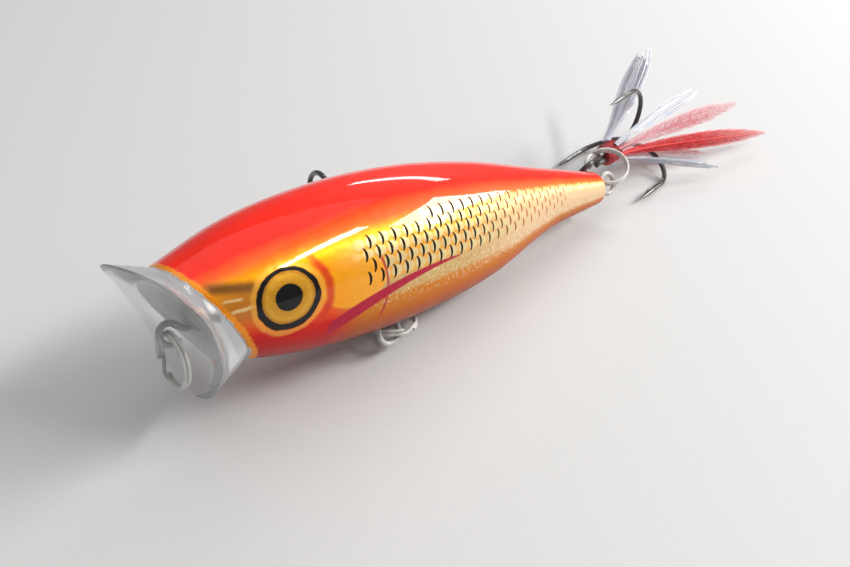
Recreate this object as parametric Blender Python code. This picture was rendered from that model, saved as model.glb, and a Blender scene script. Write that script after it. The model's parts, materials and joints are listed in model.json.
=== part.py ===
"""A dressed topwater fishing plug, lying on its side, built as separate pieces.

Local frame of the plug: +X from nose to tail, +Z dorsal, +Y the right flank, and
the origin at the top of the body's slanted front face. One empty rolls and pitches
that frame, because the plug lies on its belly hook, its hanger and its tail hook.
All lengths are in metres.
"""

import math

import bmesh
import bpy
import numpy as np
from mathutils import Matrix, Vector

MM = 0.001

# Pose of the plug on the surface that it lies on
ROLL_DEG = -27.9
PITCH_DEG = 9.0
PLUG_ORIGIN = Vector((-48.25, -6.35, 14.96)) * MM

# Body: fraction of the length, back height, belly height and half-width in mm
BODY_LENGTH = 64.3 * MM
BODY_STATIONS = (
    (0.00, 5.55, -4.26, 5.48),
    (0.13, 8.32, -6.67, 7.16),
    (0.30, 9.86, -8.19, 7.76),
    (0.48, 9.75, -8.15, 7.33),
    (0.66, 8.01, -6.78, 5.79),
    (0.84, 4.96, -3.49, 3.93),
    (1.00, 2.32, -2.32, 2.49),
)
FACE_TOP_Z = 5.55 * MM
FACE_RUN = 7.21 * MM
FACE_DROP = 11.75 * MM
TAIL_DOME = 1.2 * MM
HALF_GAP = 0.05 * MM
BODY_RINGS = 22
DOME_RINGS = 4
HALF_SIDES = 12

# Clear cup lip: rim circle seen from the front, and how far each height stands out
RIM_RADIUS = 8.0 * MM
RIM_CENTRE_Z = -1.0 * MM
RIM_PROFILE = ((7.0, -4.5), (5.0, -2.3), (2.5, -0.6), (0.0, 0.8), (-3.0, 1.55), (-9.0, 1.9))
CUP_PROFILE = (
    (7.0, -4.5),
    (5.5, -3.06),
    (3.1, -0.9),
    (0.15, 1.3),
    (-1.5, 2.4),
    (-4.85, 3.7),
    (-7.0, 3.4),
    (-9.0, 1.9),
)
LIP_WALL = 0.9 * MM
LIP_GAP = 0.1 * MM
LIP_SIDES = 32
LIP_RINGS = (0.8, 0.55, 0.28)

# Through-wire: one wire bent into the line tie, the belly hanger and the tail eye
WIRE_RADIUS = 0.36 * MM
WIRE_BORE_RADIUS = 0.50 * MM
NOSE_LOOP_RADIUS = 1.12 * MM
TAIL_LOOP_RADIUS = 1.4 * MM
EYE_LOOP_OPEN_DEG = 35.0
LOOP_NECK = 0.75 * MM
LINE_TIE = Vector((0.15, 0.0, -1.5)) * MM
TAIL_EYE = Vector((67.7, 0.0, 0.0)) * MM
HANGER_FRONT_X = 25.0 * MM
HANGER_REAR_X = 27.85 * MM
HANGER_BOTTOM_Z = -10.65 * MM
WIRE_LEVEL_Z = -1.5 * MM
WIRE_BEND = 1.3 * MM
WIRE_SIDES = 8

# Ballast slug and its pocket
BALLAST_CENTRE = Vector((39.0, 0.0, -3.9)) * MM
BALLAST_RADIUS = 1.85 * MM
BALLAST_LENGTH = 9.0 * MM
POCKET_CLEARANCE = 0.12 * MM

# Split rings: two turns of wire side by side
RING_RADIUS = 2.95 * MM
RING_WIRE = 0.22 * MM
RING_TURN_OFFSET = 0.24 * MM
RING_CROSSING_DEG = 34.0
RING_STEPS = 30
RING_SIDES = 6

# Treble hooks
HOOK_SPREAD = 0.5 * MM
HOOK_EYE_OPEN_DEG = 32.0
HOOK_SIDES = 7
HOOK_NECK = 1.4 * MM
BELLY_HOOK = {"shank": 16.9 * MM, "bend": 3.35 * MM, "leg": 5.5 * MM, "wire": 0.36 * MM, "eye": 1.08 * MM}
TAIL_HOOK = {"shank": 10.5 * MM, "bend": 3.85 * MM, "leg": 6.1 * MM, "wire": 0.36 * MM, "eye": 1.2 * MM}
POINT_RADIUS = 0.05 * MM
POINT_TAPER = 2.6 * MM

# Where each ring hangs and each hook lies
BELLY_RING_ANCHOR = Vector((26.38, 0.0, -9.35)) * MM
BELLY_RING_HEADING_DEG = 46.0
BELLY_RING_SLOPE_DEG = -15.0
BELLY_HOOK_RING_DEG = 74.0
BELLY_HOOK_HEADING_DEG = 83.0
BELLY_HOOK_RISE_DEG = 15.2
BELLY_HOOK_ROLL_DEG = 4.0
BELLY_EYE_SEAT = 0.05 * MM
TAIL_RING_HEADING_DEG = 46.0
TAIL_RING_SLOPE_DEG = 22.0
TAIL_HOOK_RING_DEG = 145.0
TAIL_HOOK_HEADING_DEG = 12.0
TAIL_HOOK_RISE_DEG = -3.8
NOSE_RING_DIRECTION = Vector((0.02, 0.25, -0.97))

# Dressing tied on the tail hook, in the hook's own frame (Z along the shank)
WRAP_START = 4.8 * MM
WRAP_END = 8.2 * MM
WRAP_INNER = 1.12 * MM
WRAP_OUTER = 1.55 * MM
BLADE_THICKNESS = 0.26 * MM
BLADE_STEPS = 9


def clear_scene():
    for item in list(bpy.data.objects):
        bpy.data.objects.remove(item, do_unlink=True)


def make_material(name, colour, roughness, metallic=0.0, alpha=1.0):
    material = bpy.data.materials.new(name)
    material.use_nodes = True
    shader = material.node_tree.nodes["Principled BSDF"]
    shader.inputs["Base Color"].default_value = (*colour, 1.0)
    shader.inputs["Roughness"].default_value = roughness
    shader.inputs["Metallic"].default_value = metallic
    shader.inputs["Alpha"].default_value = alpha
    return material


def make_empty(name, location=(0, 0, 0), parent=None):
    empty = bpy.data.objects.new(name, None)
    empty.empty_display_size = 0.004
    bpy.context.scene.collection.objects.link(empty)
    empty.location = location
    empty.parent = parent
    return empty


def make_object(name, verts, faces, material, parent):
    """A mesh object with its faces turned outwards and its round sides smooth."""
    mesh = bpy.data.meshes.new(name)
    mesh.from_pydata([tuple(v) for v in verts], [], faces)
    shell = bmesh.new()
    shell.from_mesh(mesh)
    bmesh.ops.recalc_face_normals(shell, faces=shell.faces)
    shell.to_mesh(mesh)
    shell.free()
    mesh.shade_smooth()
    mesh.set_sharp_from_angle(angle=math.radians(40))
    if material:
        mesh.materials.append(material)
    item = bpy.data.objects.new(name, mesh)
    bpy.context.scene.collection.objects.link(item)
    item.parent = parent
    return item


def smooth_value(knots, value):
    """A curve through (place, height) knots, with the slopes taken from their neighbours."""
    places = np.array([k[0] for k in knots], float)
    heights = np.array([k[1] for k in knots], float)
    if places[0] > places[-1]:
        places, heights = places[::-1], heights[::-1]
    slopes = np.gradient(heights, places)
    value = float(np.clip(value, places[0], places[-1]))
    i = int(np.clip(np.searchsorted(places, value) - 1, 0, len(places) - 2))
    step = places[i + 1] - places[i]
    t = (value - places[i]) / step
    return (
        heights[i] * (1 + 2 * t) * (1 - t) ** 2
        + slopes[i] * step * t * (1 - t) ** 2
        + heights[i + 1] * t * t * (3 - 2 * t)
        + slopes[i + 1] * step * t * t * (t - 1)
    )


def section_at(x):
    """Middle height, half-height and half-width of the body at x."""
    fraction = x / BODY_LENGTH
    back, belly, half_width = (
        smooth_value([(s[0], s[column]) for s in BODY_STATIONS], fraction) * MM
        for column in (1, 2, 3)
    )
    return (back + belly) / 2, (back - belly) / 2, half_width


def surface_point(x, angle, shrink=1.0):
    """Point of the body's skin at x; angle 0 is the back and pi the belly."""
    middle, half_height, half_width = section_at(x)
    return Vector((
        x,
        half_width * shrink * math.sin(angle),
        middle + half_height * shrink * math.cos(angle),
    ))


def face_x(z):
    return FACE_RUN * (FACE_TOP_Z - z) / FACE_DROP


def face_point(angle):
    """Where the skin line of this angle meets the slanted front face."""
    x = 0.0
    for _ in range(12):
        x = max(0.0, face_x(surface_point(x, angle).z))
    point = surface_point(x, angle)
    point.x = face_x(point.z)
    return point


def skin_line(angle):
    """Points of one line along the body, from the front face over the tail's dome."""
    start = face_point(angle)
    line = [start]
    for ring in range(1, BODY_RINGS + 1):
        x = start.x + (BODY_LENGTH - start.x) * ring / BODY_RINGS
        line.append(surface_point(x, angle))
    for ring in range(1, DOME_RINGS + 1):
        turn = math.radians(74) * ring / DOME_RINGS
        point = surface_point(BODY_LENGTH, angle, math.cos(turn))
        point.x += TAIL_DOME * math.sin(turn)
        line.append(point)
    return line


def make_body_half(name, side, material, parent):
    """One half of the body, split on the centre plane; side is -1 left or 1 right."""
    angles = [math.pi * k / HALF_SIDES for k in range(HALF_SIDES + 1)]
    lines = [skin_line(angle) for angle in angles]
    verts = []
    for line in lines:
        for point in line:
            verts.append((point.x, side * max(point.y, HALF_GAP), point.z))
    count = len(lines[0])
    faces = []
    for k in range(HALF_SIDES):
        for i in range(count - 1):
            a, b = k * count + i, (k + 1) * count + i
            faces.append((a, a + 1, b + 1, b))
    last = HALF_SIDES * count
    for i in range(count - 1):
        faces.append((i, last + i, last + i + 1, i + 1))
    faces.append(tuple(k * count for k in range(HALF_SIDES + 1)))
    faces.append(tuple(k * count + count - 1 for k in reversed(range(HALF_SIDES + 1))))
    return make_object(name, verts, faces, material, parent)


def tube_rings(points, radii, sides):
    """Rings of vertices round a path, turned with it so that the tube doesn't twist."""
    points = [Vector(p) for p in points]
    rings = []
    tangent = (points[1] - points[0]).normalized()
    normal = tangent.orthogonal().normalized()
    for i, point in enumerate(points):
        ahead = points[min(i + 1, len(points) - 1)]
        behind = points[max(i - 1, 0)]
        new_tangent = (ahead - behind).normalized()
        normal = tangent.rotation_difference(new_tangent) @ normal
        normal = (normal - normal.dot(new_tangent) * new_tangent).normalized()
        tangent = new_tangent
        across = tangent.cross(normal)
        ring = []
        for side in range(sides):
            turn = 2 * math.pi * side / sides
            ring.append(point + radii[i] * (math.cos(turn) * normal + math.sin(turn) * across))
        rings.append(ring)
    return rings


def make_tube(name, points, radii, sides, material, parent):
    """A capped round bar along a path; radii is one radius or one for each point."""
    if isinstance(radii, float):
        radii = [radii] * len(points)
    rings = tube_rings(points, radii, sides)
    verts = [vert for ring in rings for vert in ring]
    faces = []
    for i in range(len(rings) - 1):
        for side in range(sides):
            following = (side + 1) % sides
            faces.append((
                i * sides + side,
                i * sides + following,
                (i + 1) * sides + following,
                (i + 1) * sides + side,
            ))
    faces.append(tuple(range(sides)))
    faces.append(tuple((len(rings) - 1) * sides + side for side in range(sides)))
    return make_object(name, verts, faces, material, parent)


def rounded_path(corners, bend, steps=5):
    """The corners joined by straight runs, with each inner corner rounded by an arc."""
    corners = [Vector(c) for c in corners]
    path = [corners[0]]
    for before, corner, after in zip(corners, corners[1:], corners[2:]):
        back = (before - corner).normalized()
        ahead = (after - corner).normalized()
        half = back.angle(ahead) / 2
        reach = bend / math.tan(half)
        centre = corner + (back + ahead).normalized() * (bend / math.sin(half))
        start = corner + back * reach - centre
        finish = corner + ahead * reach - centre
        for step in range(steps + 1):
            arm = start.slerp(finish, step / steps).normalized() * bend
            path.append(centre + arm)
    path.append(corners[-1])
    return path


def eye_loop(centre, opens_towards, radius, steps=16):
    """Points round an open loop in the XZ plane, starting and ending by its opening."""
    loop = []
    for step in range(steps + 1):
        turn = math.radians(EYE_LOOP_OPEN_DEG + (360 - 2 * EYE_LOOP_OPEN_DEG) * step / steps)
        x = opens_towards * radius * math.cos(turn)
        loop.append(centre + Vector((x, 0, radius * math.sin(turn))))
    return loop


def wire_path():
    """The one-piece wire: line tie, belly hanger and tail eye in the centre plane."""
    line_tie = eye_loop(LINE_TIE, 1, NOSE_LOOP_RADIUS)
    tail_eye = eye_loop(TAIL_EYE, -1, TAIL_LOOP_RADIUS)
    corners = (
        LINE_TIE + Vector((NOSE_LOOP_RADIUS + LOOP_NECK, 0, 0)),
        Vector((HANGER_FRONT_X, 0, WIRE_LEVEL_Z)),
        Vector((HANGER_FRONT_X, 0, HANGER_BOTTOM_Z)),
        Vector((HANGER_REAR_X, 0, HANGER_BOTTOM_Z)),
        Vector((HANGER_REAR_X, 0, WIRE_LEVEL_Z)),
        Vector((TAIL_EYE.x - 8 * MM, 0, TAIL_EYE.z)),
        TAIL_EYE - Vector((TAIL_LOOP_RADIUS + LOOP_NECK, 0, 0)),
    )
    return list(reversed(line_tie)) + rounded_path(corners, WIRE_BEND) + tail_eye


def make_cutter(item):
    item.hide_render = True
    item.display_type = "WIRE"
    return item


def cut(item, cutter):
    modifier = item.modifiers.new(cutter.name, "BOOLEAN")
    modifier.operation = "DIFFERENCE"
    modifier.object = cutter


def rim_point(angle, scale=1.0):
    """Point of the lip's rim at this angle, or inside it at a smaller scale."""
    z = RIM_CENTRE_Z + RIM_RADIUS * scale * math.cos(angle)
    y = RIM_RADIUS * scale * math.sin(angle)
    rim_z = (RIM_CENTRE_Z + RIM_RADIUS * math.cos(angle)) / MM
    dish = smooth_value(CUP_PROFILE, z / MM)
    lift = smooth_value(RIM_PROFILE, rim_z) - smooth_value(CUP_PROFILE, rim_z)
    return Vector(((dish + lift * scale**4) * MM, y, z))


def make_lip(material, parent):
    """The clear scooped lip, from the body's front face out to its flared rim."""
    angles = [2 * math.pi * k / LIP_SIDES for k in range(LIP_SIDES)]
    inner = 1 - LIP_WALL / RIM_RADIUS
    loops = []
    back = []
    for angle in angles:
        point = face_point(angle)
        back.append(point - Vector((LIP_GAP, 0, 0)))
    loops.append(back)
    rim = [rim_point(angle) for angle in angles]
    for share in (0.35, 0.7):
        bowed = []
        for rear, front in zip(back, rim):
            point = rear.lerp(front, share)
            sink = 1 - 0.05 * math.sin(math.pi * share)
            bowed.append(Vector((point.x, point.y * sink, point.z)))
        loops.append(bowed)
    loops.append(rim)
    edge = 0.5 * (1 + inner)
    loops.append([rim_point(angle, edge) - Vector((0.22 * MM, 0, 0)) for angle in angles])
    loops.append([rim_point(angle, inner) for angle in angles])
    for share in LIP_RINGS:
        loops.append([rim_point(angle, inner * share) for angle in angles])
    verts = [vert for loop in loops for vert in loop]
    faces = []
    for i in range(len(loops) - 1):
        for side in range(LIP_SIDES):
            following = (side + 1) % LIP_SIDES
            a, b = i * LIP_SIDES, (i + 1) * LIP_SIDES
            faces.append((a + side, a + following, b + following, b + side))
    faces.append(tuple(range(LIP_SIDES)))
    floor = len(verts)
    verts.append(rim_point(0.0, 0.0))
    last = (len(loops) - 1) * LIP_SIDES
    for side in range(LIP_SIDES):
        faces.append((last + side, last + (side + 1) % LIP_SIDES, floor))
    return make_object("cup_lip", verts, faces, material, parent)


def ring_path(gap_deg):
    """Two turns of wire round local Z, which step sideways once, at gap_deg."""
    crossing = RING_CROSSING_DEG
    turns = 720.0 - crossing
    points = []
    for step in range(2 * RING_STEPS + 1):
        run = turns * step / (2 * RING_STEPS)
        ramp = min(1.0, max(0.0, (run - (360 - crossing)) / crossing))
        ease = ramp * ramp * (3 - 2 * ramp)
        height = RING_TURN_OFFSET * (2 * ease - 1)
        turn = math.radians(gap_deg + run)
        points.append(Vector((RING_RADIUS * math.cos(turn), RING_RADIUS * math.sin(turn), height)))
    return points


def frame_matrix(origin, x_axis, z_axis):
    """A matrix with this origin, local X along x_axis and local Z as near z_axis as it can be."""
    x_axis = Vector(x_axis).normalized()
    z_axis = Vector(z_axis)
    z_axis = (z_axis - z_axis.dot(x_axis) * x_axis).normalized()
    y_axis = z_axis.cross(x_axis)
    matrix = Matrix((x_axis, y_axis, z_axis)).transposed().to_4x4()
    matrix.translation = origin
    return matrix


def make_ring(name, anchor, heading, normal, gap_deg, material):
    """A split ring whose wire passes through anchor and whose centre lies along heading.

    Its parent empty stands on the anchor, with local Y along the axis that it swings on.
    """
    pivot = make_empty(name + "_pivot")
    pivot.matrix_world = frame_matrix(anchor, heading, normal)
    ring = make_tube(name, ring_path(gap_deg), RING_WIRE, RING_SIDES, material, pivot)
    ring.location = (RING_RADIUS, 0, 0)
    return pivot


def hook_leg(size, azimuth_deg, shank_start):
    """Points of one hook of a treble, from the shank's start round the bend to the point."""
    out = Vector((math.cos(math.radians(azimuth_deg)), math.sin(math.radians(azimuth_deg)), 0))
    shank, bend, leg = size["shank"], size["bend"], size["leg"]
    points = []
    for z in (shank_start, 0.5 * (shank_start + shank), shank):
        points.append(out * HOOK_SPREAD + Vector((0, 0, z)))
    for step in range(1, 11):
        turn = math.pi * step / 10
        radius = HOOK_SPREAD + bend * (1 - math.cos(turn))
        points.append(out * radius + Vector((0, 0, shank + bend * math.sin(turn))))
    outer = HOOK_SPREAD + 2 * bend
    for z in (shank - (leg - POINT_TAPER), shank - leg + 0.9 * MM, shank - leg):
        points.append(out * outer + Vector((0, 0, z)))
    return points


def hook_radii(points, size, both_ends):
    """Wire radius at each point, drawn down to a sharp point at the hook's end."""
    radii = [size["wire"]] * len(points)
    radii[-2], radii[-1] = 0.5 * size["wire"], POINT_RADIUS
    if both_ends:
        radii[1], radii[0] = 0.5 * size["wire"], POINT_RADIUS
    return radii


def make_treble(name, size, frame, upright_deg, material):
    """A treble hook: one wire bent into two hooks and an eye, and a third hook brazed on.

    frame is a lying frame on its shank. The double's hooks stand at 120 and 240 degrees
    from the single, and the hook at upright_deg stands up along the frame's Y.
    """
    start = 90.0 - upright_deg
    eye_side = math.radians(start + 90.0)
    across = Vector((math.cos(eye_side), math.sin(eye_side), 0)) * size["eye"]
    eye = []
    for step in range(15):
        turn = math.radians(HOOK_EYE_OPEN_DEG + (360 - 2 * HOOK_EYE_OPEN_DEG) * step / 14)
        eye.append(across * math.sin(turn) + Vector((0, 0, size["eye"] * math.cos(turn))))
    neck = size["eye"] + HOOK_NECK
    first = hook_leg(size, start + 120, neck)
    second = hook_leg(size, start + 240, neck)
    double = list(reversed(first)) + eye + second
    radii = hook_radii(double, size, both_ends=True)
    make_tube(name + "_double", double, radii, HOOK_SIDES, material, frame)
    single = hook_leg(size, start, neck - 0.4 * MM)
    radii = hook_radii(single, size, both_ends=False)
    make_tube(name + "_single", single, radii, HOOK_SIDES, material, frame)


def make_wrap(material, parent):
    """The thread wrapping: a short sleeve round the three shanks, tapered at both ends."""
    sides = 14
    profile = (
        (WRAP_INNER, WRAP_START),
        (WRAP_INNER + 0.2 * MM, WRAP_START - 0.05 * MM),
        (WRAP_OUTER, WRAP_START + 0.8 * MM),
        (WRAP_OUTER, WRAP_END - 0.9 * MM),
        (WRAP_INNER + 0.2 * MM, WRAP_END + 0.05 * MM),
        (WRAP_INNER, WRAP_END),
    )
    verts = []
    for radius, z in profile:
        for side in range(sides):
            turn = 2 * math.pi * side / sides
            verts.append((radius * math.cos(turn), radius * math.sin(turn), z))
    faces = []
    count = len(profile)
    for i in range(count):
        for side in range(sides):
            a, b = i * sides, ((i + 1) % count) * sides
            following = (side + 1) % sides
            faces.append((a + side, a + following, b + following, b + side))
    return make_object("thread_wrap", verts, faces, material, parent)


def make_blade(name, start_deg, lift, reach, tip, width, material, parent):
    """A flat feather or tinsel blade tied in beside the shank and curving to its tip.

    start_deg turns from straight up to the far side, lift and reach are its height over
    the shank and its place along it as it passes the hooks, and tip is its end.
    """
    turn = math.radians(start_deg)
    out = Vector((math.sin(turn), math.cos(turn), 0))
    start = out * (WRAP_OUTER + 0.25 * MM) + Vector((0, 0, WRAP_END - 1.6 * MM))
    gate = out * lift + Vector((0, 0, reach))
    tip = Vector(tip)
    verts, faces = [], []
    previous = start
    for step in range(BLADE_STEPS + 1):
        t = step / BLADE_STEPS
        point = start * (1 - t) ** 2 + gate * 2 * t * (1 - t) + tip * t * t
        following = min(1.0, t + 0.02)
        ahead = start * (1 - following) ** 2 + gate * 2 * following * (1 - following)
        ahead = ahead + tip * following * following
        along = (ahead - point) if t < 1 else (point - previous)
        across = along.cross(out).normalized()
        flat = across.cross(along).normalized()
        half = 0.5 * width * (0.15 + 0.85 * math.sin(math.pi * (0.05 + 0.85 * t**1.5)))
        thick = 0.5 * BLADE_THICKNESS
        for side, level in ((-1, -1), (1, -1), (1, 1), (-1, 1)):
            verts.append(point + across * half * side + flat * thick * level)
        previous = point
    for step in range(BLADE_STEPS):
        for corner in range(4):
            a, b = 4 * step, 4 * (step + 1)
            following = (corner + 1) % 4
            faces.append((a + corner, a + following, b + following, b + corner))
    faces.append((0, 1, 2, 3))
    faces.append(tuple(4 * BLADE_STEPS + corner for corner in range(4)))
    return make_object(name, verts, faces, material, parent)


def heading_vector(heading_deg, slope_deg):
    heading, slope = math.radians(heading_deg), math.radians(slope_deg)
    flat = math.cos(slope)
    return Vector((flat * math.cos(heading), flat * math.sin(heading), math.sin(slope)))


def lying_frame(eye, axis, roll_deg=0.0):
    """A frame on a lying shank: X level to its far side, Y up from it and Z along it."""
    level = Vector((0, 0, 1)).cross(axis)
    roll = Matrix.Rotation(math.radians(roll_deg), 4, axis)
    return frame_matrix(eye, roll @ level, axis)


def hang_frame(name, ring_pivot, ring_deg, seat, axis, roll_deg=0.0):
    """The frame of a treble whose eye runs on the ring at ring_deg from its heading.

    Its parent empty is the hook's pivot, with local Y along the ring's wire, on which
    the hook swings. seat is how far the eye's middle lies above that wire.
    """
    ring_matrix = ring_pivot.matrix_world.copy()
    turn = math.radians(ring_deg)
    arm = Vector((math.cos(turn), math.sin(turn), 0))
    eye = ring_matrix @ (Vector((RING_RADIUS, 0, 0)) + arm * RING_RADIUS)
    radial = ring_matrix.to_3x3() @ arm
    pivot = make_empty(name + "_pivot", parent=ring_pivot)
    pivot.matrix_world = frame_matrix(eye, radial, ring_matrix.to_3x3() @ Vector((0, 0, 1)))
    bpy.context.view_layer.update()
    frame = make_empty(name + "_frame", parent=pivot)
    frame.matrix_world = lying_frame(eye + Vector((0, 0, seat)), axis, roll_deg)
    bpy.context.view_layer.update()
    return frame


def make_ballast(name, radius, length, material, parent):
    mesh = bpy.data.meshes.new(name)
    shell = bmesh.new()
    bmesh.ops.create_cone(
        shell, cap_ends=True, segments=14, radius1=radius, radius2=radius, depth=length
    )
    shell.transform(Matrix.Rotation(math.radians(90), 4, "Y"))
    shell.transform(Matrix.Translation(BALLAST_CENTRE))
    shell.to_mesh(mesh)
    shell.free()
    if material:
        mesh.materials.append(material)
    item = bpy.data.objects.new(name, mesh)
    bpy.context.scene.collection.objects.link(item)
    item.parent = parent
    return item


def make_body(plug):
    """Both body halves with their wire groove and ballast pocket, the wire and the slug."""
    wood = make_material("painted_wood", (0.75, 0.12, 0.03), 0.25)
    steel = make_material("stainless_wire", (0.62, 0.62, 0.60), 0.22, metallic=1.0)
    lead = make_material("lead", (0.26, 0.27, 0.29), 0.55, metallic=1.0)
    path = wire_path()
    groove = make_cutter(make_tube("wire_groove", path, WIRE_BORE_RADIUS, 8, None, plug))
    pocket = make_cutter(make_ballast(
        "ballast_pocket",
        BALLAST_RADIUS + POCKET_CLEARANCE,
        BALLAST_LENGTH + 2 * POCKET_CLEARANCE,
        None,
        plug,
    ))
    for name, side in (("body_half_left", -1), ("body_half_right", 1)):
        half = make_body_half(name, side, wood, plug)
        cut(half, groove)
        cut(half, pocket)
    make_tube("through_wire", path, WIRE_RADIUS, WIRE_SIDES, steel, plug)
    make_ballast("ballast_slug", BALLAST_RADIUS, BALLAST_LENGTH, lead, plug)
    clear = make_material("clear_plastic", (0.86, 0.87, 0.87), 0.06, alpha=0.35)
    lip = make_lip(clear, plug)
    shank = [LINE_TIE + Vector((step * MM, 0, 0)) for step in (0.9, 2.0, 8.0)]
    cut(lip, make_cutter(make_tube("lip_bore", shank, WIRE_BORE_RADIUS, 8, None, plug)))


def make_rings(plug):
    """The three split rings. Returns the pivots of the belly ring and the tail ring."""
    steel = make_material("split_ring_steel", (0.66, 0.65, 0.62), 0.2, metallic=1.0)
    place = plug.matrix_world
    turn = place.to_3x3()
    make_ring(
        "line_tie_split_ring",
        place @ LINE_TIE,
        turn @ NOSE_RING_DIRECTION,
        turn @ Vector((1, 0, 0)),
        75.0,
        steel,
    )
    up = Vector((0, 0, 1))
    belly = make_ring(
        "belly_split_ring",
        place @ BELLY_RING_ANCHOR,
        heading_vector(BELLY_RING_HEADING_DEG, BELLY_RING_SLOPE_DEG),
        up,
        -110.0,
        steel,
    )
    tail = make_ring(
        "tail_split_ring",
        place @ TAIL_EYE,
        heading_vector(TAIL_RING_HEADING_DEG, TAIL_RING_SLOPE_DEG),
        up,
        70.0,
        steel,
    )
    return belly, tail


def make_dressing(frame):
    """Thread wrapping, feathers and tinsel tied round the tail hook."""
    thread = make_material("red_thread", (0.55, 0.03, 0.05), 0.6)
    red = make_material("red_feather", (0.85, 0.05, 0.06), 0.7)
    pink = make_material("pink_feather", (0.9, 0.45, 0.5), 0.7)
    pearl = make_material("pearl_tinsel", (0.80, 0.84, 0.90), 0.2, metallic=0.4)
    make_wrap(thread, frame)
    blades = (
        ("tinsel_upper", 30, 3.2, 11.1, (5.1, 9.6, 23.8), 4.2, pearl),
        ("tinsel_middle", -28, 3.6, 11.1, (-4.0, 5.2, 25.0), 2.0, pearl),
        ("pink_feather_upper", -53, 3.6, 12.0, (-9.2, 3.4, 28.5), 2.2, pink),
        ("red_feather", -80, 2.8, 11.1, (-13.6, -1.2, 31.5), 2.2, red),
        ("pink_feather_lower", 180, 2.6, 18.0, (-8.6, -2.8, 21.5), 2.2, pink),
        ("tinsel_lower", -102, 4.0, 10.0, (-12.4, -2.4, 18.0), 1.5, pearl),
    )
    for name, start_deg, lift, reach, tip, width, material in blades:
        make_blade(
            name,
            start_deg,
            lift * MM,
            reach * MM,
            Vector(tip) * MM,
            width * MM,
            material,
            frame,
        )


def main():
    clear_scene()
    plug = make_empty("plug_frame", PLUG_ORIGIN)
    plug.rotation_euler = (math.radians(ROLL_DEG), math.radians(PITCH_DEG), 0)
    bpy.context.view_layer.update()
    make_body(plug)
    belly_pivot, tail_pivot = make_rings(plug)
    bpy.context.view_layer.update()
    black = make_material("black_nickel", (0.07, 0.065, 0.06), 0.28, metallic=1.0)
    belly_frame = hang_frame(
        "belly_hook",
        belly_pivot,
        BELLY_HOOK_RING_DEG - BELLY_RING_HEADING_DEG,
        BELLY_EYE_SEAT,
        heading_vector(BELLY_HOOK_HEADING_DEG, BELLY_HOOK_RISE_DEG),
        BELLY_HOOK_ROLL_DEG,
    )
    make_treble("belly_hook", BELLY_HOOK, belly_frame, 120, black)
    tail_frame = hang_frame(
        "tail_hook",
        tail_pivot,
        TAIL_HOOK_RING_DEG - TAIL_RING_HEADING_DEG,
        0.0,
        heading_vector(TAIL_HOOK_HEADING_DEG, TAIL_HOOK_RISE_DEG),
    )
    make_treble("tail_hook", TAIL_HOOK, tail_frame, 240, black)
    make_dressing(tail_frame)


main()
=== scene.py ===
"""Looks of a dressed topwater fishing plug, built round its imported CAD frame.

The plug's own frame is nose to tail along +X, back up along +Z and right flank along
+Y, in metres. The plug lies rolled and pitched on the floor, and every finished mesh is
stored in the shared world frame.
"""

import json
import logging
import math
from bisect import bisect_left
from dataclasses import dataclass, field
from enum import Enum
from functools import lru_cache
from typing import Iterable, Sequence

import bmesh
import bpy
import numpy as np
from mathutils import Euler, Matrix, Vector


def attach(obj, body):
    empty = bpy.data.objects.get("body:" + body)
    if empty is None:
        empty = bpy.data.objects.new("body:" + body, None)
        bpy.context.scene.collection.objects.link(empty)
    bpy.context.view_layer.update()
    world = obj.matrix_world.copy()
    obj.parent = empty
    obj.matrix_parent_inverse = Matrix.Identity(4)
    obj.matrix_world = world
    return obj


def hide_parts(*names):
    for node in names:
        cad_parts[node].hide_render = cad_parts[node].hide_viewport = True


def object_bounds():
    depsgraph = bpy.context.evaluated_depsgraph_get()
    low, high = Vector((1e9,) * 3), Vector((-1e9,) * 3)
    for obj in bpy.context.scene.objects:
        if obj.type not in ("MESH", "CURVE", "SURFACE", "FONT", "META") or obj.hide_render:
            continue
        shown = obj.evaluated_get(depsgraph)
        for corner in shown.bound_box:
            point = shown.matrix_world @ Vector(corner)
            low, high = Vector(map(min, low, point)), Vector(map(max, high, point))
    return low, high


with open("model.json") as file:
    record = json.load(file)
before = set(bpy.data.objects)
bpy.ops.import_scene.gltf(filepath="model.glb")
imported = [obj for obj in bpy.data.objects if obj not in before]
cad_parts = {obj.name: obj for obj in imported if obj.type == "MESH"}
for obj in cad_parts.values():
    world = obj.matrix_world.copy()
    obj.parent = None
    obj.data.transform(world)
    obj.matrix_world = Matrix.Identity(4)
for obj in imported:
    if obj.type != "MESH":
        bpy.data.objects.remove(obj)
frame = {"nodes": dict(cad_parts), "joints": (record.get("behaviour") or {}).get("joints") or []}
CAD_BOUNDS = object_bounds()

LOG = logging.getLogger("topwater_plug")
MM = 0.001
GIRTH_MAP = "girth"
WIRE_RADIUS = "wire_radius"
STRAND_NUMBER = "strand"
HALF_TURN = 180.0
UP = Vector((0.0, 0.0, 1.0))

Material = bpy.types.Material
Mesh = bpy.types.Mesh
Node = bpy.types.Node
NodeSocket = bpy.types.NodeSocket
NodeTree = bpy.types.NodeTree
Object = bpy.types.Object

Colour = tuple[float, float, float]
Pair = tuple[float, float]
Knots = tuple[Pair, ...]
Stops = tuple[tuple[float, Colour], ...]

BACK_RED: Colour = (0.95, 0.016, 0.002)
ORANGE: Colour = (0.94, 0.12, 0.003)
SILVER: Colour = (0.60, 0.38, 0.13)


class Side(Enum):
    """Flank of the plug, by the sign of its Y."""

    LEFT = -1
    RIGHT = 1


# ---------------------------------------------------------------- node graphs


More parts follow.
